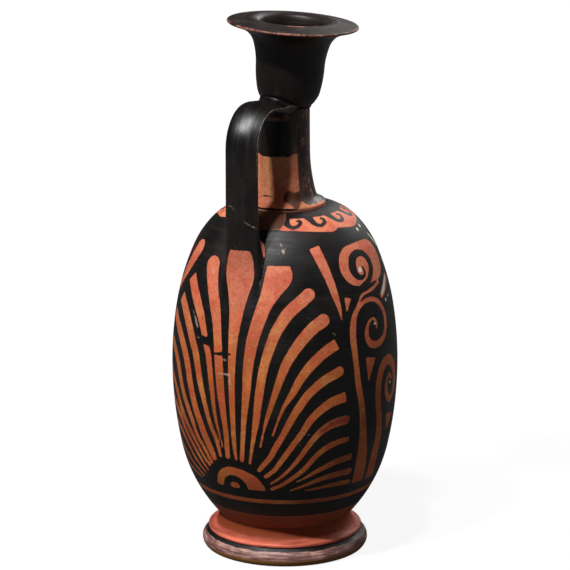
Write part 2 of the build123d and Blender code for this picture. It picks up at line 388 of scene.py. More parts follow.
class Lathe:
    """A geometry tree that turns an outline into a closed skin of clay, slightly out of round."""

    dip_stretch: tuple[float, float, float] = (0.04, 0.04, 1.0)
    dip_size: float = 45.0
    still_radius: float = 2.0
    merge_gap: float = 0.002

    def __init__(self) -> None:
        """Builds the tree with its named inputs."""
        self.tree = tree = bpy.data.node_groups.new("turned_clay", "GeometryNodeTree")
        self.keys: dict[str, str] = {}
        face = tree.interface
        face.new_socket("Geometry", in_out="INPUT", socket_type="NodeSocketGeometry")
        for name, kind in (
            ("Outline", "NodeSocketObject"),
            ("Rows", "NodeSocketInt"),
            ("Columns", "NodeSocketInt"),
            ("Wobble", "NodeSocketFloat"),
            ("Wobble Size", "NodeSocketFloat"),
            ("Seed", "NodeSocketFloat"),
            ("Material", "NodeSocketMaterial"),
        ):
            self.keys[name] = face.new_socket(name, in_out="INPUT", socket_type=kind).identifier
        face.new_socket("Geometry", in_out="OUTPUT", socket_type="NodeSocketGeometry")
        node, step = partial(add_node, tree), partial(arithmetic, tree)
        given = node("NodeGroupInput").outputs
        line = node("GeometryNodeObjectInfo", {"Object": given["Outline"]})
        wide = step("ADD", given["Columns"], 1.0)
        grid = node("GeometryNodeMeshGrid", {"Vertices X": wide, "Vertices Y": given["Rows"]})
        index = node("GeometryNodeInputIndex").outputs[0]
        column = step("FLOOR", step("DIVIDE", index, given["Rows"]))
        row = step("MODULO", index, given["Rows"])
        place = node("GeometryNodeInputPosition").outputs[0]
        drawn = node(
            "GeometryNodeSampleIndex",
            {"Geometry": line.outputs["Geometry"], "Value": place, "Index": row},
            data_type="FLOAT_VECTOR",
            domain="POINT",
        )
        parts = node("ShaderNodeSeparateXYZ", {0: drawn.outputs[0]}).outputs
        turn = step("DIVIDE", column, given["Columns"])
        angle = step("MULTIPLY", turn, math.tau)
        cosine = step("COSINE", angle)
        sine = step("SINE", angle)
        around = node("ShaderNodeCombineXYZ", {0: cosine, 1: sine, 2: parts["Z"]}).outputs[0]
        stretched = {0: around, 1: self.dip_stretch}
        spread = node("ShaderNodeVectorMath", stretched, operation="MULTIPLY").outputs[0]
        scale = step("DIVIDE", 1.0, given["Wobble Size"])
        noise = node(
            "ShaderNodeTexNoise",
            {"Vector": spread, "W": given["Seed"], "Scale": scale, "Detail": 1.0},
            noise_dimensions="4D",
        )
        dip = step("SUBTRACT", noise.outputs["Fac"], 1.0)
        inward = step("MULTIPLY", dip, given["Wobble"])
        free = step("GREATER_THAN", parts["X"], self.still_radius * MM)
        radius = step("ADD", parts["X"], step("MULTIPLY", inward, free))
        across = step("MULTIPLY", radius, cosine)
        deep = step("MULTIPLY", radius, sine)
        spot = node("ShaderNodeCombineXYZ", {0: across, 1: deep, 2: parts["Z"]}).outputs[0]
        placed = node("GeometryNodeSetPosition", {"Geometry": grid.outputs["Mesh"], "Position": spot})
        marked = node(
            "GeometryNodeStoreNamedAttribute",
            {"Geometry": placed.outputs[0], "Name": "outline_row", "Value": row},
            data_type="FLOAT",
            domain="POINT",
        )
        joined = node(
            "GeometryNodeMergeByDistance", {"Geometry": marked.outputs[0], "Distance": self.merge_gap * MM}
        )
        real = node("GeometryNodeRealizeInstances", {"Geometry": joined.outputs[0]})
        dressed = node(
            "GeometryNodeSetMaterial", {"Geometry": real.outputs[0], "Material": given["Material"]}
        )
        node("NodeGroupOutput", {"Geometry": dressed.outputs[0]})

    def turn(
        self, name: str, rows: np.ndarray, columns: int, wobble: float, seed: float, finish: Material
    ) -> Object:
        """Turns an outline into a mesh object at the origin.

        Args:
            name: The object's name.
            rows: Radius and level of each row, in millimetres.
            columns: Faces in a ring.
            wobble: How far the skin may dip inside the outline, in millimetres.
            seed: Picks the dips.
            finish: The skin's material.

        Returns:
            The new object, with its row stored on each vertex.
        """
        drawing = bpy.data.meshes.new(name + "_outline")
        drawing.from_pydata([(r * MM, 0.0, z * MM) for r, z in rows], [], [])
        pencil = bpy.data.objects.new(name + "_outline", drawing)
        bpy.context.scene.collection.objects.link(pencil)
        blank = bpy.data.objects.new(name + "_blank", bpy.data.meshes.new(name + "_blank"))
        bpy.context.scene.collection.objects.link(blank)
        modifier = blank.modifiers.new("turned_clay", "NODES")
        modifier.node_group = self.tree
        for key, value in {
            "Outline": pencil,
            "Rows": len(rows),
            "Columns": columns,
            "Wobble": wobble * MM,
            "Wobble Size": self.dip_size * MM,
            "Seed": seed,
            "Material": finish,
        }.items():
            modifier[self.keys[key]] = value
        graph = bpy.context.evaluated_depsgraph_get()
        mesh = bpy.data.meshes.new_from_object(blank.evaluated_get(graph))
        mesh.name = name
        for spent in (blank, pencil):
            bpy.data.objects.remove(spent, do_unlink=True)
        return finished(name, mesh)


def finished(name: str, mesh: Mesh) -> Object:
    """Turns a mesh's faces outwards, smooths them and puts the mesh in the scene.

    Args:
        name: The object's name.
        mesh: A closed mesh, in metres.

    Returns:
        The object, at the origin.
    """
    work = bmesh.new()
    work.from_mesh(mesh)
    bmesh.ops.recalc_face_normals(work, faces=work.faces)
    for face in work.faces:
        face.smooth = True
    work.to_mesh(mesh)
    work.free()
    made = bpy.data.objects.new(name, mesh)
    bpy.context.scene.collection.objects.link(made)
    return made


def vertices(made: Object) -> np.ndarray:
    """A mesh object's vertices, in millimetres."""
    flat = np.empty(3 * len(made.data.vertices))
    made.data.vertices.foreach_get("co", flat)
    return flat.reshape(-1, 3) / MM


def move_vertices(made: Object, places: np.ndarray) -> None:
    """Puts a mesh object's vertices at new places, in millimetres."""
    made.data.vertices.foreach_set("co", (places * MM).ravel())
    made.data.update()


def store(made: Object, name: str, values: np.ndarray | float) -> None:
    """Stores one number for each vertex, for the materials to read.

    Args:
        made: The mesh object.
        name: The attribute's name.
        values: One number for each vertex, or one for all.
    """
    layer = made.data.attributes.get(name) or made.data.attributes.new(name, "FLOAT", "POINT")
    layer.data.foreach_set("value", np.full(len(made.data.vertices), values, np.float32))


def stored(made: Object, name: str) -> np.ndarray:
    """Reads back one number for each vertex."""
    values = np.empty(len(made.data.vertices), np.float32)
    made.data.attributes[name].data.foreach_get("value", values)
    return values


def by_row(made: Object, values: np.ndarray) -> np.ndarray:
    """Spreads one number for each row of an outline over the vertices that were turned from it."""
    return np.interp(stored(made, "outline_row"), np.arange(len(values)), values)


def far_from_paint(count: int) -> dict[Paint, np.ndarray]:
    """For each paint, distances of this many vertices that lie far from it."""
    return {paint: np.full(count, FAR) for paint in Paint}


def store_paint(made: Object, fields: dict[Paint, np.ndarray]) -> None:
    """Stores how far each vertex lies from each paint; gloss slip is what no other paint covers.

    Args:
        made: The mesh object.
        fields: One distance for each vertex and paint.
    """
    for paint, gap in fields.items():
        if paint is not Paint.GLOSS:
            store(made, paint.value, gap)


@dataclass(frozen=True)
class Wall:
    """The painted wall: the body's outside, and the face of the strap that stands before it."""

    rows: np.ndarray
    strap: "StrapHandle"
    margin: float = 1.0

    def radius(self, level: np.ndarray) -> np.ndarray:
        """The body's radius at these levels."""
        return np.interp(level, self.rows[:, 1], self.rows[:, 0])

    def place(self, angle: np.ndarray, level: np.ndarray) -> np.ndarray:
        """Puts points given by angle and level on the wall.

        Args:
            angle: Degrees from the handle.
            level: Height above the foot's resting ring.

        Returns:
            Their places in the frame, in millimetres.
        """
        turn = np.radians(angle)
        radius = self.radius(level)
        out, aside = radius * np.cos(turn), radius * np.sin(turn)
        on_strap = (np.abs(aside) < self.strap.width / 2 + self.margin) & (out > 0)
        across = self.strap.face() * np.sin(turn)
        stands = self.strap.face_at(across)
        proud = on_strap & (stands > out)
        return np.stack([-np.where(proud, stands, out), -np.where(proud, across, aside), level], -1)

    def from_collar(self, distance: float) -> float:
        """The level of a point on the shoulder, from its distance to the collar along the wall."""
        length = np.r_[0, np.cumsum(np.hypot(*np.diff(self.rows[::-1], axis=0).T))]
        return float(np.interp(distance, length, self.rows[::-1, 1]))


@dataclass(frozen=True)
class Mass:
    """The outside of a turned piece, as something to measure distances from."""

    rows: np.ndarray
    seat: Matrix = field(default_factory=Matrix)

    def probe(self, places: np.ndarray) -> tuple[np.ndarray, np.ndarray]:
        """Measures how far places lie outside the piece.

        Args:
            places: Points in the frame, in millimetres.

        Returns:
            The distances, negative inside, and the outward directions.
        """
        turn, shift = np.array(self.seat.to_3x3()), np.array(self.seat.translation)
        own = (places - shift) @ turn
        radius = np.maximum(np.hypot(own[:, 0], own[:, 1]), TINY)
        spots = np.stack([radius, own[:, 2]], 1)
        nearest = np.full(len(spots), np.inf)
        side = np.zeros(len(spots))
        facing = np.zeros((len(spots), 2))
        for low, high in zip(self.rows, self.rows[1:]):
            along = high - low
            across = np.array([along[1], -along[0]]) / np.linalg.norm(along)
            share = np.clip((spots - low) @ along / (along @ along), 0, 1)
            gap = spots - low - share[:, None] * along
            size = np.linalg.norm(gap, axis=1)
            closer = size < nearest
            nearest = np.where(closer, size, nearest)
            side = np.where(closer, np.sign(gap @ across), side)
            facing[closer] = across
        aside = facing[:, :1] * own[:, :2] / radius[:, None]
        return nearest * side, np.hstack([aside, facing[:, 1:]]) @ turn.T


class Skin:
    """The closed skin of a free-form piece, as something to measure distances from."""

    def __init__(self, made: Object) -> None:
        """Takes the skin as it is now.

        Args:
            made: A mesh object with its faces turned outwards.
        """
        faces = [tuple(face.vertices) for face in made.data.polygons]
        self.tree = BVHTree.FromPolygons(vertices(made).tolist(), faces)

    def probe(self, places: np.ndarray) -> tuple[np.ndarray, np.ndarray]:
        """Measures how far places lie outside the skin.

        Args:
            places: Points in the frame, in millimetres.

        Returns:
            The distances, negative inside, and the outward directions.
        """
        distances, normals = np.empty(len(places)), np.empty((len(places), 3))
        for number, place in enumerate(places.tolist()):
            spot, normal, _, gap = self.tree.find_nearest(place)
            sign = 1.0 if (Vector(place) - spot).dot(normal) >= 0 else -1.0
            distances[number] = gap * sign
            normals[number] = normal
        return distances, normals


def weld(
    made: Object,
    masses: Sequence[Mass],
    widest: float,
    flattest: float,
    sunk: float = 0.22,
    rounds: int = 6,
) -> None:
    """Draws a free-form piece's skin out into smooth fillets where it meets other pieces.

    Args:
        made: The piece, whose ends lie inside the masses.
        masses: What it is pressed onto.
        widest: Size of the fillet where the surfaces meet squarely, in millimetres.
        flattest: Share of that size where they meet nearly flush.
        sunk: How far below the other surface the fillet's edge ends.
        rounds: How often each point is moved towards the fillet's surface.
    """
    skin = Skin(made)
    places = vertices(made)
    _, facing = skin.probe(places)
    for mass in masses:
        depth, outward = mass.probe(places)
        agree = np.sum(facing * outward, axis=1)
        reach = widest * (flattest + (1 - flattest) * np.clip(1 - agree, 0, 1))
        near = np.nonzero(np.abs(depth) < reach)[0]
        spots, size = places[near], reach[near]
        for _ in range(rounds):
            own, own_out = skin.probe(spots)
            other, other_out = mass.probe(spots)
            other = other + sunk
            share = np.clip(0.5 + 0.5 * (other - own) / size, 0, 1)
            height = other + share * (own - other) - size * share * (1 - share)
            out = other_out + share[:, None] * (own_out - other_out)
            out /= np.maximum(np.linalg.norm(out, axis=1, keepdims=True), TINY)
            spots = spots - height[:, None] * out
        places[near] = spots
    move_vertices(made, places)


@dataclass(frozen=True)
class Stroke:
    """A brush stroke along points of angle, level and half width."""

    points: tuple[tuple[float, float, float], ...]
    paint: Paint = Paint.RESERVED
    tip: Tip = Tip.ROUND

    def mirrored(self) -> "Stroke":
        """The same stroke on the other side of the handle."""
        return replace(self, points=tuple((-angle, level, half) for angle, level, half in self.points))

    def turned(self, by: float) -> "Stroke":
        """The same stroke further round the pot."""
        return replace(self, points=tuple((angle + by, level, half) for angle, level, half in self.points))

    def curve(self) -> np.ndarray:
        """A smooth curve through the points, as angle, level and half width."""
        knots = np.array(self.points, float)
        if len(knots) == 1:
            return np.repeat(knots, 2, 0) + [[0, -DOT_HALF, 0], [0, DOT_HALF, 0]]
        ends = np.concatenate([[2 * knots[0] - knots[1]], knots, [2 * knots[-1] - knots[-2]]])
        share = np.linspace(0, 1, CURVE_STEPS, endpoint=False)[:, None]
        found = []
        for a, b, c, d in zip(ends, ends[1:], ends[2:], ends[3:]):
            found.append(
                b
                + share / 2 * (c - a)
                + share**2 * (a - 2.5 * b + 2 * c - d / 2)
                + share**3 * (1.5 * (b - c) + (d - a) / 2)
            )
        return np.concatenate([*found, knots[-1:]])

    def distance(self, places: np.ndarray, wall: Wall) -> np.ndarray:
        """How far places on the pot lie outside the stroke's edge, negative inside it.

        Args:
            places: Points in the frame, in millimetres.
            wall: What the stroke is painted on.

        Returns:
            One distance for each point, no more than FAR.
        """
        track = self.curve()
        spots = wall.place(track[:, 0], track[:, 1])
        brushed = self.paint in (Paint.RESERVED, Paint.GLOSS)
        half = np.maximum(track[:, 2], BRUSH_LEAST if brushed else MARK_LEAST)
        reach = half.max() + STROKE_REACH
        near = np.all((places > spots.min(0) - reach) & (places < spots.max(0) + reach), axis=1)
        close = places[near]
        best = np.full(len(close), FAR)
        for start, end, wide, narrow in zip(spots, spots[1:], half, half[1:]):
            along = end - start
            share = np.clip((close - start) @ along / max(float(along @ along), TINY), 0, 1)
            gap = np.linalg.norm(close - start - share[:, None] * along, axis=1)
            best = np.minimum(best, gap - (wide + share * (narrow - wide)))
        if self.tip is Tip.SQUARE:
            ahead = spots[-1] - spots[-3]
            best = np.maximum(best, (close - spots[-1]) @ ahead / np.linalg.norm(ahead))
        if self.tip is Tip.LEVEL:
            best = np.maximum(best, close[:, 2] - spots[-1, 2])
        found = np.full(len(places), FAR)
        found[near] = best
        return found


@dataclass(frozen=True)
class Ornament:
    """The painter's work on the body and handle: what is reserved, added or worn away."""

    ground_line: float = 31.2
    stripe_low: float = 25.5
    stripe_high: float = 27.3
    dip_line: float = 19.6
    bare_root_depth: float = 2.6
    bare_root_top: float = 131.0
    bare_root_low: float = 118.0
    bare_patch_angle: float = 27.0
    bare_patch_reach: float = 10.9
    bare_patch_taper: float = 4.5
    taper_levels: tuple[float, float] = (129.4, 127.1)
    # Pale line along the strap's edges: partly rubbed slip, partly a painted highlight.
    strap_edge_wear_and_highlight: float = 0.08
    strap_edge_wear_and_highlight_levels: tuple[float, float] = (150.0, 134.0)
    wave_start: float = 24.0
    wave_pitch: float = 25.0
    wave_count: int = 12
    wave_top: float = 5.2
    wave_low: float = 12.4
    wave_sway: tuple[Ripple, ...] = (Ripple(0.5, 0.21), Ripple(0.3, 0.083, 1.0))
    wave_fade: float = 3.0
    wave_fade_angles: tuple[float, float] = (284.0, 304.0)
    wave_run_on: float = 10.5
    wave_steps: int = 90
    front: float = 180.0

    def middle_petal(self) -> list[Stroke]:
        """The palmette's middle petal, whose top lies on the root of the strap."""
        low = ((-0.6, 43.3, 0.55), (-0.85, 50, 0.85), (-0.85, 60, 1.05), (-1.0, 70, 1.25), (-1.2, 80, 1.5))
        high = ((-0.9, 90, 1.95), (-0.3, 100, 2.95), (-0.1, 106, 4.1), (0, 111.5, 5.4))
        end = ((0, 115.5, 5.2), (0.2, 118.2, 4.6), (0.3, 120.0, 3.7), (0.3, 121.1, 2.6))
        return [Stroke(low + high + end, tip=Tip.LEVEL)]

    def right_petals(self) -> list[Stroke]:
        """The palmette's petals to the right of the handle, from the middle outwards."""
        rounded, square, level = Tip
        petals = (
            (level, (2.9, 43.3, 0.85), (4.0, 50, 0.85), (5.5, 60, 1.05), (6.85, 70, 1.55), (7.8, 80, 1.9),
             (9.95, 90, 2.3), (14.2, 100, 2.6), (17.4, 105, 3.1), (20.6, 109.5, 4.2), (22.7, 112.2, 4.9),
             (22.1, 113.9, 4.1), (20.6, 115.5, 2.9)),
            (rounded, (7.3, 42.4, 0.5), (8.9, 48, 0.65), (10.7, 55, 0.95), (11.9, 60, 1.3),
             (13.6, 70, 1.55), (15.9, 80, 1.65), (20.2, 90, 1.95), (23.7, 95, 2.1), (29.1, 100, 2.25),
             (39.6, 105.6, 2.3)),
            (rounded, (13.6, 49.3, 0.25), (15.4, 55, 0.42), (17.2, 60, 0.7), (19.4, 65, 0.95),
             (21.5, 70, 1.15), (26.3, 80, 1.65), (30.2, 85, 1.85), (35.5, 90, 2.1), (41.5, 94, 2.25),
             (46.8, 96.2, 2.4)),
            (square, (20.2, 54, 0.25), (23, 60, 0.42), (25.8, 65, 0.7), (30, 70, 1.2), (33.7, 75, 1.55),
             (39, 80, 1.8), (46, 84.4, 1.95), (53.5, 87.3, 2.1)),
            (rounded, (12.3, 39.8, 0.8), (15.5, 42.6, 0.95), (18.6, 45.2, 1.0), (22.1, 50, 1.1),
             (26, 55, 1.15), (29.4, 60, 1.3), (33.5, 65, 1.5), (38.6, 70, 1.6), (46, 74.3, 1.75),
             (54.4, 77, 1.9)),
            (square, (15.8, 37.3, 0.8), (20.8, 40.3, 0.85), (25.6, 45, 1.0), (30.3, 50, 1.1),
             (35.2, 55, 1.2), (39.6, 60, 1.4), (46, 64.2, 1.65), (52, 66.3, 1.85), (58.3, 67.2, 1.95)),
            (rounded, (18.3, 34.4, 0.4), (24, 37.2, 0.55), (30, 41.4, 0.7), (35, 46, 0.95),
             (40, 51.2, 1.1), (45, 55, 1.35), (51, 57.4, 1.65), (58.6, 58.3, 1.75)),
            (square, (18.9, 32.1, 0.7), (24, 33.8, 0.75), (28, 35.6, 0.8), (36.2, 40, 0.95),
             (42.4, 45, 1.05), (48, 48.2, 1.1), (55, 50, 1.1), (61.6, 50.5, 1.0)),
            (square, (33, 35.3, 0.3), (38, 37, 0.5), (44, 39.2, 0.9), (50, 41, 1.1), (56, 42.3, 1.25),
             (64.8, 43.1, 1.3)),
            (rounded, (29.5, 31.6, 0.3), (34, 32.7, 0.5), (40, 34.2, 0.75), (47, 35.8, 1.0),
             (55, 36.7, 1.25), (64.4, 37.1, 1.4)),
            (rounded, (38, 31.3, 0.3), (45, 31.9, 0.6), (52, 32.4, 0.85), (60, 32.6, 1.05),
             (66, 32.5, 1.0)),
        )
        return [Stroke(tuple(points), tip=tip) for tip, *points in petals]

    def left_petals(self) -> list[Stroke]:
        """The palmette's petals to the left of the handle, from the middle outwards."""
        rounded, square = Tip.ROUND, Tip.SQUARE
        petals = (
            (rounded, (-5.6, 43.8, 1.0), (-5.3, 50, 1.05), (-5.5, 55, 1.1), (-6.1, 60, 1.25),
             (-7.6, 70, 1.65), (-8.9, 80, 1.8), (-10.7, 90, 1.85), (-12.1, 95, 2.05), (-14.4, 100, 2.4),
             (-17.6, 105, 2.5), (-20.8, 110, 2.9), (-22.8, 113.4, 3.3)),
            (square, (-8.2, 47.5, 0.3), (-9.5, 52, 0.45), (-11.6, 60, 0.75), (-13.1, 70, 1.1),
             (-15.2, 80, 1.35), (-17.5, 85, 1.4), (-20.2, 90, 1.5), (-23.7, 95, 1.95), (-29.3, 100, 2.3),
             (-35, 104, 2.4), (-40, 107.2, 2.5)),
            (square, (-10.3, 43.6, 0.7), (-12, 50, 0.9), (-15, 55, 1.0), (-17, 60, 1.1),
             (-18.9, 65, 1.25), (-20.9, 70, 1.5), (-24.7, 80, 1.8), (-28.4, 85, 1.95), (-33, 90, 2.15),
             (-39.5, 95, 2.3), (-47.5, 98.7, 2.2)),
            (rounded, (-15, 42, 1.1), (-16.5, 45, 1.5), (-19.9, 50, 1.7), (-22.7, 55, 1.75),
             (-25.6, 60, 1.75), (-29.9, 70, 1.85), (-31.7, 75, 2.0), (-35.3, 80, 2.1), (-40, 84, 2.15),
             (-45, 87, 2.15), (-54, 90.8, 2.1)),
            (rounded, (-17.8, 40, 0.8), (-22, 45, 0.9), (-27, 50, 1.05), (-29.8, 55, 1.3),
             (-33.8, 60, 1.5), (-37.5, 65, 1.6), (-40.5, 70, 1.75), (-45, 76, 1.9), (-54, 80.5, 1.9)),
            (rounded, (-19.8, 38.5, 0.7), (-23.5, 41.3, 0.75), (-27.3, 45, 0.85), (-32.8, 50, 1.15),
             (-38.7, 55, 1.5), (-43.5, 60, 1.75), (-48, 64.5, 1.85), (-56.5, 69.5, 1.9)),
            (rounded, (-22.3, 36.2, 0.6), (-27, 40, 0.85), (-33, 45, 1.0), (-39.5, 50, 1.25),
             (-46, 55, 1.5), (-58, 60.2, 1.7)),
            (rounded, (-25, 34.5, 0.5), (-33.3, 39.5, 0.8), (-38.5, 43.5, 1.0), (-46, 48, 1.2),
             (-60, 52, 1.2)),
            (rounded, (-28, 32.8, 0.5), (-36, 36, 0.8), (-45, 39.7, 1.1), (-54, 42.5, 1.2),
             (-63, 44, 1.3)),
            (rounded, (-31, 31.6, 0.4), (-40, 33, 0.8), (-52, 35.5, 1.1), (-64, 37, 1.4)),
        )
        return [Stroke(tuple(points), tip=tip) for tip, *points in petals]

    def heart(self) -> list[Stroke]:
        """The palmette's heart: a red half ring that thickens to the right, round a small half disc."""
        ring = ((-14.2, 32.2, 1.55), (-11.5, 35.7, 1.6), (-7, 37.7, 1.7), (-2, 38.0, 1.75))
        swell = ((3, 36.9, 2.1), (7.5, 34.6, 2.8), (9.9, 31.5, 3.3))
        return [Stroke(ring + swell), Stroke(((-4.2, 31.7, 1.9), (-3.4, 31.7, 1.9)))]

    def plain_heart(self) -> Stroke:
        """Half of an even half ring, for the palmette in front."""
        return Stroke(((0, 38.2, 1.7), (5, 37.6, 1.7), (9.5, 35.6, 1.7), (12.6, 32.2, 1.7)))

    def wedge_leaf(self) -> Stroke:
        """The long leaf between the palmette and the right scrolls."""
        return Stroke(
            ((57.7, 95.6, 0.25), (56.4, 101, 0.95), (54.6, 106, 1.4), (52.6, 111, 1.65), (49.8, 116, 1.9),
             (46.6, 121.2, 2.05)),
            tip=Tip.SQUARE,
        )

    def left_wedge_leaf(self) -> Stroke:
        """The broader leaf on the left, nearly at the contour in the main view."""
        return Stroke(
            ((-61, 97.5, 0.3), (-57, 103, 1.7), (-51.5, 108.5, 2.7), (-47.3, 113.5, 3.1),
             (-44.8, 116.8, 3.3)),
        )

    def scrolls(self) -> list[Stroke]:
        """Three volutes up the right flank, their stems, fillers and white touches."""
        top = [
            Stroke(((74.2, 113.3, 7.7), (84, 113.4, 7.9), (92.5, 113.4, 7.7))),
            Stroke(
                ((68, 104.4, 0.5), (75, 105.8, 0.7), (83, 107.4, 1.2), (88.6, 111.4, 1.5),
                 (86, 115.6, 1.4), (79, 117.0, 1.4), (73.0, 115.4, 1.8), (71.3, 112.2, 1.9),
                 (73.3, 109.5, 1.3), (77.6, 108.7, 0.8), (80.6, 110.0, 0.6), (79.8, 111.9, 0.5)),
                paint=Paint.GLOSS,
            ),
            Stroke(
                ((92, 105.2, 0.6), (86, 104.1, 0.6), (79, 103.3, 0.55), (72, 101.9, 0.5),
                 (63, 93.8, 0.25)),
            ),
            Stroke(((61.3, 98.7, 0.3), (63.0, 102.9, 1.5)), tip=Tip.SQUARE),
        ]
        middle = [
            Stroke(
                ((73.8, 31.0, 3.0), (72.9, 40, 2.85), (71.7, 48, 2.05), (70.2, 56, 1.6), (68.2, 64, 1.35),
                 (65.9, 71, 1.35), (64.6, 79, 1.2), (63.7, 86, 1.35), (63.9, 91.5, 1.45),
                 (66.3, 96.6, 1.1), (72, 99.8, 0.85), (80, 100.5, 0.85), (87, 98.4, 1.0),
                 (91.2, 94, 1.05), (91.3, 89.8, 1.1), (88.2, 85.8, 1.15), (82, 83.9, 1.3),
                 (76, 84.6, 1.35), (73.3, 87.2, 1.15), (73.6, 90.3, 0.9), (76, 92.9, 0.6),
                 (79.8, 93.4, 0.5), (82.2, 91.6, 0.45), (81.2, 89.7, 0.35)),
            ),
            Stroke(((73.0, 71.8, 0.3), (75.0, 79.7, 2.7)), tip=Tip.SQUARE),
        ]
        low = [
            Stroke(
                ((85.8, 31.0, 2.9), (84.6, 40, 2.5), (85.4, 47, 2.2), (84.4, 53, 1.9), (82.0, 60, 1.8),
                 (81.1, 66, 1.8), (82.3, 71.5, 1.9), (86.2, 75.5, 1.95), (91.5, 76.3, 1.95),
                 (97, 73.8, 1.9), (100.6, 68, 1.7), (98.8, 62.5, 1.5), (93.8, 60.8, 1.4),
                 (89.8, 63.6, 1.3), (89.3, 67.8, 1.2), (92.4, 70.4, 0.9), (95.6, 68.4, 0.6)),
            ),
            Stroke(((95.0, 49.0, 0.3), (96.0, 54.8, 3.5)), tip=Tip.SQUARE),
        ]
        bar = Stroke(((92, 100.2, 1.2), (98, 102.2, 1.6), (106, 105, 1.4)))
        touches = (
            ((77.0, 111.4, 1.0),),
            ((80.4, 91.5, 0.6),),
            ((93.4, 67.2, 0.7),),
            ((92.6, 100.4, 0.7), (97, 102.1, 1.0), (101, 103.8, 0.8), (105, 105.2, 0.5)),
            ((108, 120.6, 0.4), (111, 118.1, 0.7), (114, 115.4, 0.4)),
            ((112, 111.2, 0.3), (114, 108.8, 0.35)),
            ((96.5, 97.8, 0.75),),
            ((101.5, 98.6, 0.6),),
            ((95, 123.6, 0.7),),
            ((103.5, 124.0, 0.7),),
        )
        return [*top, *middle, *low, bar, *(Stroke(points, Paint.CREAM) for points in touches)]

    def waves(self, wall: Wall) -> list[Stroke]:
        """The running wave round the shoulder, with its border, from one side of the handle to the other.

        Args:
            wall: The body's outside, on which distances from the collar are measured.

        Returns:
            A reserved band, and the black curl that cuts each wave out of it.
        """
        valley = ((1.8, 4.2, 1.9), (2.4, 5.5, 1.6), (3.4, 7.0, 1.4), (4.4, 8.4, 1.2), (6.6, 9.5, 0.95))
        hook = ((9.6, 9.95, 0.78), (13.0, 9.5, 0.75), (15.8, 8.4, 0.75), (17.1, 7.2, 0.65))
        hook += ((15.9, 6.5, 0.6), (13.9, 6.8, 0.45))
        low_edge = ((24.5, 11.3), (35, 11.5), (45, 12.0), (55, 12.6), (62, 13.1), (66, 13.4), (68.5, 12.7))
        low_edge += ((72, 12.2), (78, 12.5), (86, 13.3), (93, 13.8), (102, 13.2), (112, 12.4))
        end = self.wave_start + self.wave_pitch * self.wave_count
        steps = np.linspace(low_edge[0][0], end + self.wave_run_on, self.wave_steps)
        sway = self.wave_low + rippled(steps, self.wave_sway)
        sway -= self.wave_fade * ramp(steps, *self.wave_fade_angles)
        edge = np.where(steps < low_edge[-1][0], np.interp(steps, *zip(*low_edge)), sway)
        top = self.wave_top
        band = [(a, wall.from_collar((top + e) / 2), (e - top) / 2) for a, e in zip(steps, edge)]
        strokes = [Stroke(tuple(band))]
        for number in range(self.wave_count - 1):
            start = self.wave_start + self.wave_pitch * number
            curl = tuple((start + angle, wall.from_collar(out), half) for angle, out, half in valley + hook)
            strokes.append(Stroke(curl, paint=Paint.GLOSS))
        slit = ((-59, 7.6, 0.35), (-58, 8.6, 0.5), (-56, 9.3, 0.3))
        slit = tuple((angle, wall.from_collar(out), half) for angle, out, half in slit)
        return [*strokes, Stroke(slit, paint=Paint.WASH)]

    def scars(self) -> list[Stroke]:
        """Old damage: dark fills across the left petals, rubbed places and one overfired petal tip."""
        fills = (
            ((-12, 82.7, 0.25), (-8, 82.9, 0.7), (-4.2, 83.3, 0.5), (-2, 83.3, 0.15)),
            ((-24.5, 87.6, 0.7), (-20.5, 86.8, 1.4), (-16.5, 86.2, 1.3), (-14, 85, 0.7)),
        )
        scuffs = (
            ((-31, 96, 0.15), (-28.6, 94, 0.3), (-26.6, 92.2, 0.55), (-25, 90.4, 0.3)),
            ((-24.4, 87.2, 0.4), (-22.8, 86.6, 0.2)),
            ((-10, 75.4, 0.2), (-6, 75.8, 0.3), (-2.4, 75.6, 0.4)),
            ((-2.4, 76.2, 0.4), (-2.2, 72.4, 0.3), (-2.0, 70, 0.1)),
            ((-6.4, 81, 0.25), (-4, 81, 0.25)),
            ((-21.5, 111.8, 0.5), (-20.3, 110.6, 0.4)),
            ((23.0, 122.6, 0.25), (24.0, 121.8, 0.3)),
            ((24.6, 120.6, 0.45), (25.6, 119.8, 0.4)),
            ((22.4, 119.6, 0.2),),
            ((26.6, 121.2, 0.25),),
            ((-8.3, 137.2, 0.14), (-4, 136.6, 0.13), (2.3, 132, 0.12), (9.3, 129.4, 0.16)),
            ((51.8, 91.3, 0.3), (53, 90.6, 0.2)),
            ((41.2, 117, 0.1),),
            ((57.5, 117.5, 0.1),),
            ((11, 109.8, 0.3), (12.3, 108.9, 0.2)),
            ((38.6, 54, 0.35),),
        )
        overfired = ((45, 55, 0.8), (50, 57.2, 1.2), (56, 58.2, 1.5), (60, 58.5, 1.4))
        return [
            *(Stroke(points, Paint.GLOSS) for points in fills),
            *(Stroke(points, Paint.SCUFF) for points in scuffs),
            Stroke(overfired, Paint.FLUSH),
        ]

    def strokes(self) -> list[Stroke]:
        """Every stroke on the body, in the order of painting.

        Returns:
            The strokes of both flanks, the palmette under the handle and a plain one in front.
        """
        near = self.middle_petal() + self.right_petals() + self.left_petals() + self.heart()
        half = self.right_petals() + [self.plain_heart()]
        far = self.middle_petal() + half + [stroke.mirrored() for stroke in half] + self.heart()[1:]
        flank = self.scrolls()
        return (
            near
            + [self.wedge_leaf(), self.left_wedge_leaf()]
            + flank
            + [stroke.mirrored() for stroke in flank]
            + [stroke.turned(self.front) for stroke in far]
        )

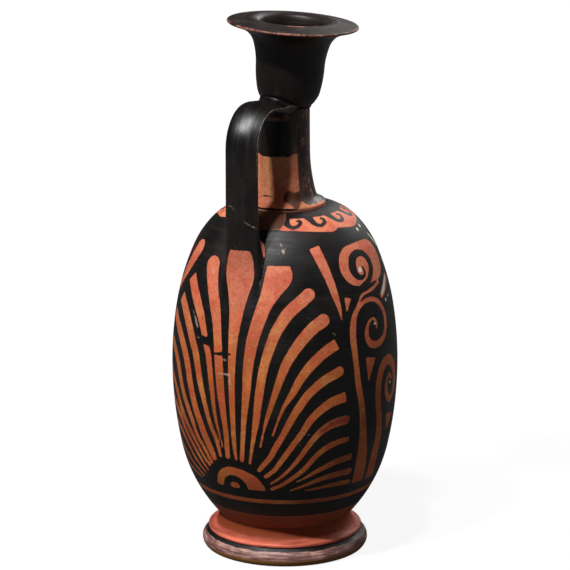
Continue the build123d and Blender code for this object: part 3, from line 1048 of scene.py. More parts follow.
    def paint(self, made: Object, wall: Wall) -> None:
        """Paints the body: stores how far each vertex lies from each kind of paint.

        Args:
            made: The body.
            wall: Its outside.
        """
        places = vertices(made)
        level = places[:, 2]
        fields = far_from_paint(len(places))
        reserve = fields[Paint.RESERVED]
        self._lay(self.strokes(), places, wall, fields)
        np.maximum(reserve, self.ground_line - level, out=reserve)
        self._lay(self.waves(wall) + self.scars(), places, wall, fields)
        np.minimum(reserve, np.maximum(self.stripe_low - level, level - self.stripe_high), out=reserve)
        np.minimum(reserve, level - self.dip_line, out=reserve)
        self._behind_handle(places, fields, wall)
        store_paint(made, fields)

    def _behind_handle(self, places: np.ndarray, fields: dict[Paint, np.ndarray], wall: Wall) -> None:
        """Leaves the shoulder between handle and neck bare, where no brush could reach, under a dark brown
        that is partly wash and partly painted shade.

        Args:
            places: Points in the frame.
            fields: Distances to each paint, changed in place.
            wall: The body's outside.
        """
        radius = np.hypot(places[:, 0], places[:, 1])
        narrowed = self.bare_patch_angle - self.bare_patch_taper * ramp(places[:, 2], *self.taper_levels)
        beside = np.radians(np.abs(angle_round(places)) - narrowed) * radius
        below = wall.from_collar(self.bare_patch_reach) - places[:, 2]
        patch = np.maximum(beside, below)
        # The bare patch gets the dark brown: partly a wash, partly painted shade under the handle.
        np.minimum(fields[Paint.RESERVED], patch, out=fields[Paint.RESERVED])
        np.minimum(fields[Paint.WASH], patch, out=fields[Paint.WASH])

    def _lay(
        self, strokes: Sequence[Stroke], places: np.ndarray, wall: Wall, fields: dict[Paint, np.ndarray]
    ) -> None:
        """Lays strokes over each other in order.

        Args:
            strokes: What is painted.
            places: Points in the frame.
            wall: What is painted on.
            fields: Distances to each paint, changed in place.
        """
        reserve = fields[Paint.RESERVED]
        for stroke in strokes:
            gap = stroke.distance(places, wall)
            if stroke.paint is Paint.GLOSS:
                np.maximum(reserve, -gap, out=reserve)
            else:
                np.minimum(fields[stroke.paint], gap, out=fields[stroke.paint])

    def paint_handle(self, made: Object, wall: Wall, reach: float, edge: np.ndarray) -> None:
        """Paints the strap: black but for the middle petal's top, its inner root, and pale upper edges that
        are partly rubbed and partly a painted highlight.

        Args:
            made: The handle.
            wall: The wall and the strap's face.
            reach: The strap's distance from the axis.
            edge: How far each vertex lies inside the strap's pale edges, which are partly rubbed and partly a
                painted highlight.
        """
        places = vertices(made)
        fields = far_from_paint(len(places))
        reserve = fields[Paint.RESERVED]
        self._lay(self.middle_petal() + self.scars(), places, wall, fields)
        outer = np.where(places[:, 0] < -reach, -FAR, FAR)
        np.maximum(reserve, outer, out=reserve)
        inner = np.maximum(self.bare_root_depth - reach - places[:, 0], places[:, 2] - self.bare_root_top)
        np.minimum(reserve, np.maximum(inner, self.bare_root_low - places[:, 2]), out=reserve)
        # Pale line along the strap's upper edges: partly rubbed slip, partly a painted highlight.
        rubbed = edge + self.strap_edge_wear_and_highlight + ramp(places[:, 2], *self.strap_edge_wear_and_highlight_levels)
        np.minimum(fields[Paint.SCUFF], rubbed, out=fields[Paint.SCUFF])
        store_paint(made, fields)


@dataclass(frozen=True)
class NeckPaint:
    """The neck's paint: black, with a bare panel behind the handle, a worn collar, a crack and a dark brown
    patch.
    """

    panel_angle: float = 56.0
    panel_top: float = 150.1
    panel_step: float = 1.3
    panel_step_angles: tuple[float, float] = (34.0, 46.0)
    panel_edge: Ripple = Ripple(0.2, math.radians(5))
    collar_wear: float = 132.7
    collar_peak: float = 1.4
    collar_peak_angle: float = 54.0
    collar_peak_spread: float = 7.0
    collar_edge: tuple[Ripple, ...] = (Ripple(0.2, 0.45), Ripple(0.12, 1.1, 0.7))
    collar_worn_angle: float = 80.0
    collar_worn_half: float = 36.0
    rim_top: float = 132.25
    rim_half: float = 47.0
    crack_level: float = 135.9
    crack_slope: float = 0.02
    crack_half: float = 0.25
    crack_angle: float = -6.0
    crack_reach: float = 2.5
    dark_patch_angle: float = 42.0
    # A dark brown patch low on the panel's right, painted with the wash paint.
    dark_patch_level: float = 135.2
    dark_patch_edge: Ripple = Ripple(0.5, 0.25)
    dark_patch_stretch: float = 1.5
    dark_patch_radius: float = 2.6

    def lay(self, made: Object) -> None:
        """Stores how far each vertex of the neck lies from each kind of paint.

        Args:
            made: The neck.
        """
        places = vertices(made)
        level, angle = places[:, 2], angle_round(places)
        arc = np.radians(1.0) * np.hypot(places[:, 0], places[:, 1])
        fields = far_from_paint(len(places))
        step = self.panel_step * ramp(angle, *self.panel_step_angles)
        above = level - self.panel_top - step - self.panel_edge.at(angle)
        bare = np.maximum((np.abs(angle) - self.panel_angle) * arc, above)
        ragged = self.collar_wear + rippled(angle, self.collar_edge)
        ragged += self.collar_peak * hump(angle, self.collar_peak_angle, self.collar_peak_spread)
        beside = (np.abs(angle - self.collar_worn_angle) - self.collar_worn_half) * arc
        worn = np.maximum(beside, level - ragged)
        rim = np.maximum(level - self.rim_top, (np.abs(angle) - self.rim_half) * arc)
        off_crack = np.abs(level - self.crack_level - self.crack_slope * angle) - self.crack_half
        crack = np.maximum(off_crack, np.abs(angle - self.crack_angle) * arc - self.crack_reach)
        bare = np.maximum(bare, -np.minimum(rim, crack))
        fields[Paint.RESERVED] = np.minimum(bare, worn)
        aside = (angle - self.dark_patch_angle) * arc / self.dark_patch_stretch
        rise = level - self.dark_patch_level - self.dark_patch_edge.at(angle)
        fields[Paint.WASH] = np.hypot(aside, rise) - self.dark_patch_radius
        store_paint(made, {paint: np.clip(gap, -FAR, FAR) for paint, gap in fields.items()})


@dataclass(frozen=True)
class Layer:
    """A colour that a value brings in: none of it at the start, its whole share at the full mark."""

    value: Any
    start: float
    full: float
    colour: str
    share: float = 1.0


class Palette:
    """A shader tree being built, with the few steps that every clay finish repeats."""

    def __init__(self, name: str) -> None:
        """Starts an empty material.

        Args:
            name: The material's name.
        """
        self.material = bpy.data.materials.new(name)
        self.material.use_nodes = True
        self.tree = self.material.node_tree
        self.tree.nodes.clear()
        place = add_node(self.tree, "ShaderNodeTexCoord").outputs["Object"]
        scaled = add_node(self.tree, "ShaderNodeVectorMath", {0: place, "Scale": 1 / MM}, operation="SCALE")
        self.mm = scaled.outputs[0]
        self.level = add_node(self.tree, "ShaderNodeSeparateXYZ", {0: self.mm}).outputs["Z"]

    def stored(self, name: str) -> NodeSocket:
        """A number stored on the mesh."""
        return add_node(self.tree, "ShaderNodeAttribute", attribute_name=name).outputs["Fac"]

    def noise(self, size: float, detail: float, place: Any = None) -> NodeSocket:
        """Soft noise whose blobs have this size in millimetres."""
        inputs = {"Vector": place or self.mm, "Scale": 1 / size, "Detail": detail}
        return add_node(self.tree, "ShaderNodeTexNoise", inputs).outputs["Fac"]

    def math(self, operation: str, *values: Any) -> NodeSocket:
        """One step of arithmetic."""
        return arithmetic(self.tree, operation, *values)

    def span(self, value: Any, low: float, high: float, to_low: float = 0.0, to_high: float = 1.0) -> Any:
        """Maps a range of a value onto another range, smoothly."""
        ends = {"Value": value, "From Min": low, "From Max": high, "To Min": to_low, "To Max": to_high}
        return add_node(self.tree, "ShaderNodeMapRange", ends, interpolation_type="SMOOTHSTEP").outputs[0]

    def mix(self, factor: Any, first: Any, second: Any) -> NodeSocket:
        """Mixes two colours, each a hex code or an earlier mix."""
        first = linear(first) if isinstance(first, str) else first
        second = linear(second) if isinstance(second, str) else second
        inputs = {MIX_FACTOR: factor, MIX_A: first, MIX_B: second}
        return add_node(self.tree, "ShaderNodeMix", inputs, data_type="RGBA").outputs[MIX_RESULT]

    def coat(self, base: Any, *layers: Layer) -> Any:
        """Mixes layers of colour over a base, one after the other."""
        for layer in layers:
            share = self.span(layer.value, layer.start, layer.full, 0.0, layer.share)
            base = self.mix(share, base, layer.colour)
        return base

    def finish(self, relief: Any, depth: float, colour: Any, roughness: Any, gloss: float) -> Material:
        """Ends the material with a principled shader.

        Args:
            relief: Height from 0 to 1 of the fine surface.
            depth: What a height of 1 is in millimetres.
            colour: A linear colour, or a mix of colours.
            roughness: A number, or the output that feeds it.
            gloss: How strongly the film mirrors.

        Returns:
            The finished material.
        """
        raised = {"Strength": 1.0, "Distance": depth * MM, "Height": relief}
        bump = add_node(self.tree, "ShaderNodeBump", raised)
        film = {"Base Color": colour, "Roughness": roughness, "IOR": FILM_IOR, "Specular IOR Level": gloss}
        shader = add_node(self.tree, "ShaderNodeBsdfPrincipled", {"Normal": bump.outputs[0], **film})
        add_node(self.tree, "ShaderNodeOutputMaterial", {"Surface": shader.outputs[0]})
        return self.material


@dataclass(frozen=True)
class SlipPaintedClay:
    """Red earthenware, burnished and painted with black gloss slip, fired in three stages.

    The slip sinters to a thin, hard, nearly black film with a satin shine and a cool sheen. It thins
    to brown at its edges and rubs off where hands touch it, and the clay under it is matt and warm.
    """

    name: str = "black_gloss_slip_on_red_earthenware"
    clay: str = "#C86B36"
    clay_brown: str = "#A55421"
    clay_rosy: str = "#DA7A60"
    clay_pale: str = "#DA8E66"
    clay_red: str = "#C04A34"
    clay_gold: str = "#DB9654"
    # Darker red brown low on the body, under the belly: partly a red wash, partly painted shade.
    clay_base_wash_and_shade: str = "#8A3F20"
    clay_flush: str = "#8A3424"
    # Dark brown of the wash paint; behind the handle it is partly painted shade.
    wash: str = "#3C210E"
    slip: str = "#0C0A09"
    slip_thin: str = "#211713"
    # Grey brown for the neck's right: partly worn thin slip, partly painted sheen.
    slip_worn_and_sheen: str = "#4C3F3A"
    cream: str = "#E4D8C0"
    dust: str = "#BFA296"
    rubbed: str = "#9A6250"
    slip_roughness: float = 0.38
    clay_roughness: float = 0.6
    polish: float = 0.08
    gloss: float = 0.34
    brush_wander: float = 0.3
    edge_softness: float = 0.12
    brush_stretch: float = 0.06
    scuff_cover: float = 0.75
    grain_share: float = 0.3
    relief: float = 0.07
    rosy_levels: tuple[float, float] = (72.0, 112.0)
    pale_levels: tuple[float, float] = (126.0, 140.0)
    base_levels: tuple[float, float] = (21.0, 18.0)

    def _mask(self, palette: Palette, paint: Paint, shake: NodeSocket, loose: float) -> Any:
        """How fully a paint covers each point: 1 inside its strokes and 0 outside.

        Args:
            palette: The material being built.
            paint: Which paint.
            shake: Noise that moves the strokes' edges.
            loose: How much rougher the edges are than a brush's.

        Returns:
            The mask.
        """
        shift = palette.math("SUBTRACT", shake, 0.5)
        edge = palette.math("MULTIPLY_ADD", shift, self.brush_wander * loose, palette.stored(paint.value))
        return palette.span(edge, self.edge_softness * loose, -self.edge_softness * loose)

    def material(self) -> Material:
        """Builds the material, which reads the paint stored on each mesh.

        Returns:
            The material.
        """
        made = Palette(self.name)
        patch = made.noise(size=14.0, detail=4.0)
        blotch = made.noise(size=4.0, detail=3.0)
        speck = made.noise(size=1.1, detail=3.0)
        tint = made.noise(size=9.0, detail=3.0)
        grit = made.noise(size=0.75, detail=2.0)
        wander = made.noise(size=2.0, detail=2.0)
        comb = add_node(made.tree, "ShaderNodeCombineXYZ", {0: made.stored("comb")}).outputs[0]
        brushed = {0: made.mm, 1: [self.brush_stretch] * 3, 2: comb}
        drawn = add_node(made.tree, "ShaderNodeVectorMath", brushed, operation="MULTIPLY_ADD")
        streak = made.noise(size=1.1, detail=4.0, place=drawn.outputs[0])
        loose = {Paint.RESERVED: 1.0, Paint.SCUFF: 2.0, Paint.FLUSH: 10.0, Paint.WASH: 3.0, Paint.CREAM: 1.0}
        mask = {paint: self._mask(made, paint, wander, share) for paint, share in loose.items()}

        earth = made.coat(
            self.clay,
            Layer(patch, 0.35, 0.7, self.clay_brown),
            Layer(made.level, *self.rosy_levels, self.clay_rosy, 0.8),
            Layer(made.level, *self.pale_levels, self.clay_pale),
            Layer(streak, 0.5, 0.8, self.clay_brown, 0.3),
            Layer(tint, 0.5, 0.66, self.clay_red, 0.5),
            Layer(tint, 0.46, 0.32, self.clay_gold, 0.4),
            Layer(blotch, 0.52, 0.68, self.clay_red, 0.5),
            Layer(speck, 0.4, 0.66, self.clay_brown, 0.35),
            Layer(grit, 0.63, 0.71, self.clay_flush, 0.65),
            Layer(grit, 0.35, 0.27, self.cream, 0.28),
            # Darker below the belly: partly red wash, partly painted shade.
            Layer(made.level, *self.base_levels, self.clay_base_wash_and_shade, 0.85),
        )
        earth = made.mix(mask[Paint.FLUSH], earth, self.clay_flush)
        # Dark brown wash, which behind the handle is partly painted shade.
        wash_and_painted_shade = made.math("MULTIPLY", mask[Paint.WASH], made.span(blotch, 0.3, 0.65, 1.0, 0.86))
        earth = made.mix(wash_and_painted_shade, earth, self.wash)

        film = made.coat(
            self.slip,
            Layer(patch, 0.5, 0.75, self.slip_thin, 0.7),
            Layer(streak, 0.52, 0.75, self.slip_thin, 0.7),
        )
        # On the neck's right the slip turns grey brown: partly worn thin slip, partly painted sheen.
        thinned = made.math("MULTIPLY", made.stored("thinned"), made.span(streak, 0.38, 0.6, 0.55, 1.0))
        film = made.coat(made.mix(thinned, film, self.slip_worn_and_sheen), Layer(speck, 0.72, 0.8, self.dust, 0.45))
        painted = made.mix(mask[Paint.RESERVED], film, earth)
        ragged = made.math("MULTIPLY", made.stored("wear"), made.span(speck, 0.3, 0.65, 0.45, 1.0))
        ragged = made.math("MULTIPLY", ragged, made.span(blotch, 0.38, 0.58, 0.3, 1.0))
        bare = made.span(ragged, 0.15, 0.7, 0.0, 0.85)
        dusty = made.span(speck, 0.5, 0.66)
        painted = made.mix(bare, painted, made.mix(dusty, self.rubbed, self.dust))
        grazed = made.mix(dusty, self.dust, self.rubbed)
        painted = made.mix(made.math("MULTIPLY", mask[Paint.SCUFF], self.scuff_cover), painted, grazed)
        colour = made.mix(mask[Paint.CREAM], painted, self.cream)

        shown = made.math("MAXIMUM", mask[Paint.RESERVED], bare)
        satin = made.span(patch, 0.3, 0.7, self.slip_roughness - 0.06, self.slip_roughness + 0.1)
        satin = made.math("MULTIPLY_ADD", made.stored("polish"), -self.polish, satin)
        satin = made.math("ADD", satin, made.span(streak, 0.35, 0.65, -0.04, 0.05))
        ends = {MIX_FACTOR: shown, MIX_LOW: satin, MIX_HIGH: self.clay_roughness}
        dull = add_node(made.tree, "ShaderNodeMix", ends, data_type="FLOAT").outputs[0]
        height = made.math("MULTIPLY_ADD", made.noise(size=0.7, detail=4.0), self.grain_share, streak)
        return made.finish(height, self.relief, colour, dull, self.gloss)


@dataclass(frozen=True)
class WashedFootClay:
    """The same earthenware under a thin red wash, with a slip line in the groove and a dark ring.

    The wash is warm and slightly shiny, and the ring's thin purple brown film is rubbed to the clay.
    """

    name: str = "red_washed_earthenware_foot"
    wash: str = "#DA7058"
    wash_deep: str = "#AC4A34"
    # Darker red brown in the hollow under the body: partly a thicker wash, partly painted shade.
    cove_wash_and_shade: str = "#913F1F"
    ring: str = "#6A4743"
    ring_worn: str = "#BC9286"
    sole: str = "#94622F"
    line: str = "#120E0F"
    sole_top: float = 2.3
    line_low: float = 5.45
    line_high: float = 6.8
    cove_levels: tuple[float, float] = (8.6, 9.8)
    matt_levels: tuple[float, float] = (7.8, 9.0)
    edge_blur: float = 0.2
    line_blur: float = 0.15
    streak_stretch: tuple[float, float, float] = (0.06, 0.06, 1.0)
    sway: float = 0.45
    mottle_share: float = 0.3
    roughness: float = 0.46
    gloss: float = 0.3
    relief: float = 0.06

    def material(self) -> Material:
        """Builds the material from bands of level, each with a wavering edge.

        Returns:
            The material.
        """
        made = Palette(self.name)
        drawn_out = {0: made.mm, 1: self.streak_stretch}
        flat = add_node(made.tree, "ShaderNodeVectorMath", drawn_out, operation="MULTIPLY")
        streak = made.noise(size=0.6, detail=4.0, place=flat.outputs[0])
        patch = made.noise(size=3.5, detail=6.0)
        sway = made.math("MULTIPLY_ADD", made.noise(size=5.0, detail=2.0), 2 * self.sway, -self.sway)
        height = made.math("ADD", made.level, sway)
        red = made.coat(
            self.wash,
            Layer(streak, 0.4, 0.7, self.wash_deep, 0.8),
            # Darker up into the hollow: partly thicker wash, partly painted shade.
            Layer(height, *self.cove_levels, self.cove_wash_and_shade),
        )
        streaked = made.math("MULTIPLY", streak, 1 - self.mottle_share)
        mottle = made.math("MULTIPLY_ADD", patch, self.mottle_share, streaked)
        dark = made.coat(
            self.ring,
            Layer(mottle, 0.44, 0.6, self.ring_worn, 0.8),
            Layer(height, self.sole_top + self.edge_blur, self.sole_top - self.edge_blur, self.sole),
            Layer(streak, 0.58, 0.7, self.line, 0.6),
        )
        above = made.span(height, self.line_high - self.line_blur, self.line_high + self.line_blur)
        above_ring = made.span(height, self.line_low - self.edge_blur, self.line_low + self.edge_blur)
        banded = made.mix(above_ring, dark, made.mix(above, self.line, red))
        ragged = made.math("MULTIPLY", made.stored("wear"), made.span(patch, 0.3, 0.65))
        colour = made.coat(banded, Layer(ragged, 0.25, 0.6, self.sole, 0.7))
        satin = made.span(patch, 0.3, 0.7, self.roughness - 0.08, self.roughness + 0.14)
        satin = made.math("ADD", satin, made.span(height, *self.matt_levels, 0.0, 0.25))
        return made.finish(streak, self.relief, colour, satin, self.gloss)


@dataclass(frozen=True)
class LutingSlip:
    """Liquid clay that was smeared into a joint and fired with the pot: matt, red brown or painted black."""

    name: str = "fired_luting_slip"
    colour: str = "#8A4A30"
    roughness: float = 0.6
    gloss: float = 0.3
    relief: float = 0.03

    def material(self) -> Material:
        """Builds the material.

        Returns:
            The material.
        """
        made = Palette(self.name)
        grain = made.noise(size=0.8, detail=3.0)
        return made.finish(grain, self.relief, linear(self.colour), self.roughness, self.gloss)


def install(made: Object, slot: Slot, *nodes: str) -> None:
    """Puts a finished piece in the frame, in place of its CAD nodes.

    Args:
        made: The piece.
        slot: Not used.
        nodes: The CAD nodes that it stands for.
    """
    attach(made, BODY_NAME)
    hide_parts(*nodes)
    LOG.info("%s: %d vertices, stands for %s", made.name, len(made.data.vertices), ", ".join(nodes))


def dish_middle(radius: float, level: float, dish: float) -> tuple[float, float]:
    """A point halfway out on a round dish.

    Args:
        radius: The dish's rim.
        level: The rim's level.
        dish: How much lower the dish's centre is.

    Returns:
        The point's radius and level.
    """
    halfway = radius / 2
    sphere = (radius**2 + dish**2) / (2 * dish)
    return halfway, level - dish + sphere - math.sqrt(sphere**2 - halfway**2)


@dataclass
class TurnedBody:
    """The thrown body."""

    stations: tuple[Station, ...] = (
        Station(24.6, 13.0, 47.0),
        Station(42.0, 70.82, 90.0),
        Station(34.3, 114.0, 112.5),
        Station(15.2, 131.0, 174.0),
    )
    wall: float = 4.2
    floor_level: float = 19.0
    hole_radius: float = 9.0
    dish: float = 2.0
    columns: int = 340
    row_gap: float = 0.7
    skin_gap: float = 0.5
    inner_gap: float = 4.0
    floor_gap: float = 5.0
    wobble: float = 0.16
    seed: float = 1.7
    polish: float = -1.2

    def outside(self) -> np.ndarray:
        """The painted outside, from its base to the neck's seat."""
        return Outline().along(self.stations, self.skin_gap).rows()

    def outline(self) -> np.ndarray:
        """The whole outline, from the middle of the base round to the middle of the floor."""
        base, top = self.stations[0], self.stations[-1]
        inner = [station.inside(self.wall) for station in self.stations]
        drawn = Outline().start(0, base.level - self.dish)
        halfway = dish_middle(base.radius, base.level, self.dish)
        drawn.bend(halfway, (base.radius, base.level), self.inner_gap)
        drawn.run(self.stations, self.row_gap)
        drawn.line(self.hole_radius, top.level).line(self.hole_radius, inner[-1].level)
        drawn.line(inner[-1].radius, inner[-1].level)
        lining = Outline().along(inner, self.inner_gap).points[::-1]
        drawn.draw(np.array([point for point in lining if point[1] >= self.floor_level]), self.inner_gap)
        return drawn.line(0, self.floor_level, self.floor_gap).rows()

    def build(self, lathe: Lathe, finish: Material, ornament: Ornament, wall: Wall) -> Object:
        """Turns and paints the body.

        Args:
            lathe: Turns outlines.
            finish: Slip-painted clay.
            ornament: The painter's work.
            wall: What the strokes are painted on.

        Returns:
            The finished body.
        """
        rows = self.outline()
        made = lathe.turn("body_painted", rows, self.columns, self.wobble, self.seed, finish)
        store(made, "wear", by_row(made, edge_wear(rows)))
        store(made, "comb", vertices(made)[:, 2])
        store(made, "polish", self.polish)
        ornament.paint(made, wall)
        install(made, Slot.PAINTED_CLAY, "body")
        return made


@dataclass
class TurnedFoot:
    """The foot: resting ring, groove and hollow flare."""

    seat_radius: float = 24.6
    height: float = 12.6
    dish: float = 2.0
    hollow_radius: float = 20.0
    hollow_level: float = 5.2
    rest_inner: float = 23.0
    rest_outer: float = 29.8
    ring_bulge: tuple[float, float] = (31.1, 2.7)
    ring_top: tuple[float, float] = (29.7, 5.4)
    groove: tuple[float, float] = (28.4, 6.5)
    ledge_bulge: tuple[float, float] = (28.9, 7.35)
    ledge_top: tuple[float, float] = (28.0, 8.2)
    flare: tuple[float, float] = (25.5, 9.6)
    fine_gap: float = 0.5
    hidden_gap: float = 5.0
    columns: int = 256
    wobble: float = 0.25
    seed: float = 4.2

    def outline(self) -> np.ndarray:
        """The outline from the middle of the hollow underneath round to the middle of the seat."""
        drawn = Outline().start(0, self.hollow_level).line(self.hollow_radius, self.hollow_level, gap=4.0)
        drawn.line(self.rest_inner, 0).line(self.rest_outer, 0, gap=2.0)
        drawn.bend(self.ring_bulge, self.ring_top).line(*self.groove, self.fine_gap)
        drawn.bend(self.ledge_bulge, self.ledge_top, self.fine_gap)
        drawn.bend(self.flare, (self.seat_radius, self.height))
        halfway = dish_middle(self.seat_radius, self.height, self.dish)
        return drawn.bend(halfway, (0, self.height - self.dish), self.hidden_gap).rows()

    def build(self, lathe: Lathe, finish: Material) -> Object:
        """Turns the foot.

        Args:
            lathe: Turns outlines.
            finish: Washed clay.

        Returns:
            The finished foot.
        """
        rows = self.outline()
        made = lathe.turn("foot_turned", rows, self.columns, self.wobble, self.seed, finish)
        store(made, "wear", by_row(made, edge_wear(rows)))
        install(made, Slot.FOOT_CLAY, "foot")
        return made


@dataclass
class TurnedNeck:
    """The neck with its collar and spigot, its top sloped under the leaning mouth."""

    stations: tuple[Station, ...] = (
        Station(14.2, 132.7, 157.5),
        Station(11.5, 135.3, 105.0),
        Station(9.2, 167.8, 90.0),
    )
    bore: float = 5.5
    spigot_radius: float = 8.6
    spigot_level: float = 127.8
    seat_level: float = 131.4
    collar_radius: float = 15.2
    collar_edge: float = 132.05
    columns: int = 160
    wobble: float = 0.2
    seed: float = 2.9
    polish: float = 0.5
    run_on: float = 4.0
    slope_start: float = 150.0
    swell: float = 1.0
    swell_angle: float = -60.0
    swell_level: float = 147.0
    swell_spread: float = 9.0
    swell_margin: float = 1.0
    brush_turn: float = 24.0
    rubbed: float = 0.9
    rubbed_angle: float = 84.0
    rubbed_spread: float = 34.0
    rubbed_middle: float = 0.55
    rubbed_least: float = 0.42
    rubbed_streak: tuple[Ripple, ...] = (Ripple(0.3, 0.6), Ripple(0.3, 0.37, 1.0))
    rubbed_break: Ripple = Ripple(0.25, 0.45)
    rubbed_slant: float = 0.1 / 0.45
    # Where the neck's slip is paled: partly worn thin slip, partly painted sheen.
    thin_and_sheen_angles: tuple[float, float] = (34.0, 44.0)
    thin_and_sheen_back_angles: tuple[float, float] = (180.0, 110.0)

    def outside(self) -> np.ndarray:
        """The visible outside, from the collar to the mouth's seat."""
        last = self.stations[-1]
        drawn = Outline().along(self.stations, gap=0.8)
        return drawn.line(last.radius, last.level + self.run_on, gap=2.0).rows()

    def outline(self) -> np.ndarray:
        """The outline from the bore's foot round to the bore's foot again."""
        first, last = self.stations[0], self.stations[-1]
        drawn = Outline().start(self.bore, self.spigot_level).line(self.spigot_radius, self.spigot_level)
        drawn.line(self.spigot_radius, self.seat_level).line(self.collar_radius, self.seat_level)
        drawn.bend((self.collar_radius, self.collar_edge), (first.radius, first.level), gap=0.3)
        drawn.run(self.stations, gap=0.6).line(self.bore, last.level)
        return drawn.line(self.bore, self.spigot_level, gap=6.0).rows()

    def rubbed_streaks(self, angle: np.ndarray, level: np.ndarray) -> np.ndarray:
        """How worn the slip is: in upright streaks on both sides of the bare panel.

        Args:
            angle: Degrees from the handle, of each vertex.
            level: Height of each vertex.

        Returns:
            A number from 0 to 1 for each vertex.
        """
        beside = hump(np.abs(angle), self.rubbed_angle, self.rubbed_spread)
        streaks = np.clip(self.rubbed_middle + rippled(angle, self.rubbed_streak), self.rubbed_least, 1)
        breaks = 1 - self.rubbed_break.height + self.rubbed_break.at(level + self.rubbed_slant * angle)
        return self.rubbed * beside * streaks * breaks

    def build(self, lathe: Lathe, finish: Material, seat: Matrix) -> Object:
        """Turns the neck, slopes its top to the mouth's seat and paints it.

        Args:
            lathe: Turns outlines.
            finish: Slip-painted clay.
            seat: The leaning plane on which the mouth sits, in millimetres.

        Returns:
            The finished neck.
        """
        rows = self.outline()
        made = lathe.turn("neck_turned", rows, self.columns, self.wobble, self.seed, finish)
        places = vertices(made)
        radius = np.hypot(places[:, 0], places[:, 1])
        out = places[:, :2] / radius[:, None]
        lean = np.radians(self.swell_angle)
        side = np.clip(-out[:, 0] * math.cos(lean) - out[:, 1] * math.sin(lean), 0, 1) ** 2
        swell = self.swell * side * hump(places[:, 2], self.swell_level, self.swell_spread)
        swell[radius <= self.bore + self.swell_margin] = 0
        places[:, :2] += swell[:, None] * out
        up = seat.to_3x3() @ Vector((0, 0, 1))
        foot = seat.translation
        rise = -((places[:, 0] - foot.x) * up.x + (places[:, 1] - foot.y) * up.y) / up.z
        places[:, 2] += ramp(places[:, 2], self.slope_start, foot.z) * rise
        move_vertices(made, places)
        angle = angle_round(out)
        streaks = self.rubbed_streaks(angle, places[:, 2])
        store(made, "wear", np.maximum(by_row(made, edge_wear(rows)), streaks))
        store(made, "comb", self.brush_turn * np.sin(np.radians(angle - 180) / 2))
        # Pales the neck's right and back: partly worn thin slip, partly painted sheen.
        store(made, "thinned", ramp(angle, *self.thin_and_sheen_angles) * ramp(angle, *self.thin_and_sheen_back_angles))
        store(made, "polish", self.polish)
        NeckPaint().lay(made)
        install(made, Slot.BLACK_GLOSS, "neck")
        return made


@dataclass
class TurnedMouth:
    """The bell mouth with its drooping lip, in its own leaning frame."""

    stations: tuple[Station, ...] = (
        Station(8.6, 0.0, 47.0),
        Station(11.6, 5.2, 77.5),
        Station(14.1, 22.5, 72.0),
        Station(23.7, 29.1, 12.0),
    )
    lining: tuple[Station, ...] = (
        Station(7.2, 2.9, 75.0),
        Station(11.2, 22.5, 76.0),
        Station(12.4, 30.4, 66.0),
    )
    height: float = 31.6
    lip_radius: float = 24.2
    lip_level: float = 29.6
    lip_thickness: float = 1.0
    crest_radius: float = 14.8
    crest_round: float = 2.4
    crest_fall: float = 0.48
    crown_inset: float = 0.8
    crown_fall: float = 0.4
    worn_crest: float = 15.2
    worn_angle: float = 32.0
    worn_half: float = 2.5
    worn_spread: float = 20.0
    worn_least: float = 0.3
    worn_most: float = 0.9
    edge_worn: tuple[float, float] = (1.05, 0.35)
    crest_worn: tuple[float, float] = (1.92, 0.32)
    # Paleness over the lip's top: partly wear, partly a painted sheen.
    top_wear_and_sheen: float = 0.27
    top_margin: float = 2.0
    columns: int = 200
    wobble: float = 0.2
    seed: float = 7.1
    polish: float = -0.8

    def outside(self) -> np.ndarray:
        """The bell's outside, from its foot to the lip."""
        return Outline().along(self.stations, gap=0.8).rows()

    def outline(self) -> np.ndarray:
        """The outline from the foot up the outside, over the lip and down the inside."""
        inner = self.lining[::-1]
        turned = [replace(station, slope=station.slope + 180) for station in inner]
        drawn = Outline().along(self.stations, gap=0.7)
        half = self.lip_thickness / 2
        over_lip = (self.lip_radius - half, self.lip_level + half)
        drawn.bend((self.lip_radius, self.lip_level), over_lip, gap=0.3)
        drawn.line(self.crest_radius + self.crest_round, self.height - self.crest_fall, gap=0.7)
        crown = (self.crest_radius - self.crown_inset, self.height - self.crown_fall)
        drawn.bend(crown, (inner[0].radius, inner[0].level), gap=0.4).run(turned, gap=0.8)
        drawn.line(inner[-1].radius, 0)
        return drawn.line(self.stations[0].radius, 0).rows()

    def lip_wear(self, rows: np.ndarray) -> np.ndarray:
        """How pale each row is: the lip's edge most, its top and the inner crest less; on the top it is
        partly wear and partly a painted sheen.

        Args:
            rows: Radius and level of each row.

        Returns:
            A number from 0 to 1 for each row.
        """
        gap = np.hypot(rows[:, 0] - self.lip_radius, rows[:, 1] - self.lip_level)
        on_top = (rows[:, 1] > self.lip_level) & (rows[:, 0] > self.crest_radius - self.top_margin)
        crest = np.hypot(rows[:, 0] - self.worn_crest, rows[:, 1] - self.height)
        worn = np.maximum(ramp(gap, *self.edge_worn), ramp(crest, *self.crest_worn))
        return np.maximum(worn, self.top_wear_and_sheen * on_top)

    def build(self, lathe: Lathe, finish: Material, seat: Matrix) -> Object:
        """Turns the mouth and sets it on the neck, leaning.

        Args:
            lathe: Turns outlines.
            finish: Slip-painted clay.
            seat: The leaning plane on which the mouth sits, in millimetres.

        Returns:
            The finished mouth.
        """
        rows = self.outline()
        made = lathe.turn("mouth_turned", rows, self.columns, self.wobble, self.seed, finish)
        places = vertices(made)
        turn = np.array(seat.to_3x3())
        move_vertices(made, places @ turn.T + np.array(seat.translation))
        on_crest = np.abs(np.hypot(places[:, 0], places[:, 1]) - self.worn_crest) < self.worn_half
        rubbed = hump(angle_round(places), self.worn_angle, self.worn_spread)
        rubbed = np.where(on_crest, self.worn_least + self.worn_most * rubbed, 1.0)
        store(made, "wear", by_row(made, self.lip_wear(rows)) * rubbed)
        store(made, "comb", places[:, 2])
        store(made, "polish", self.polish)
        store_paint(made, far_from_paint(len(places)))
        install(made, Slot.BLACK_GLOSS, "mouth")
        return made


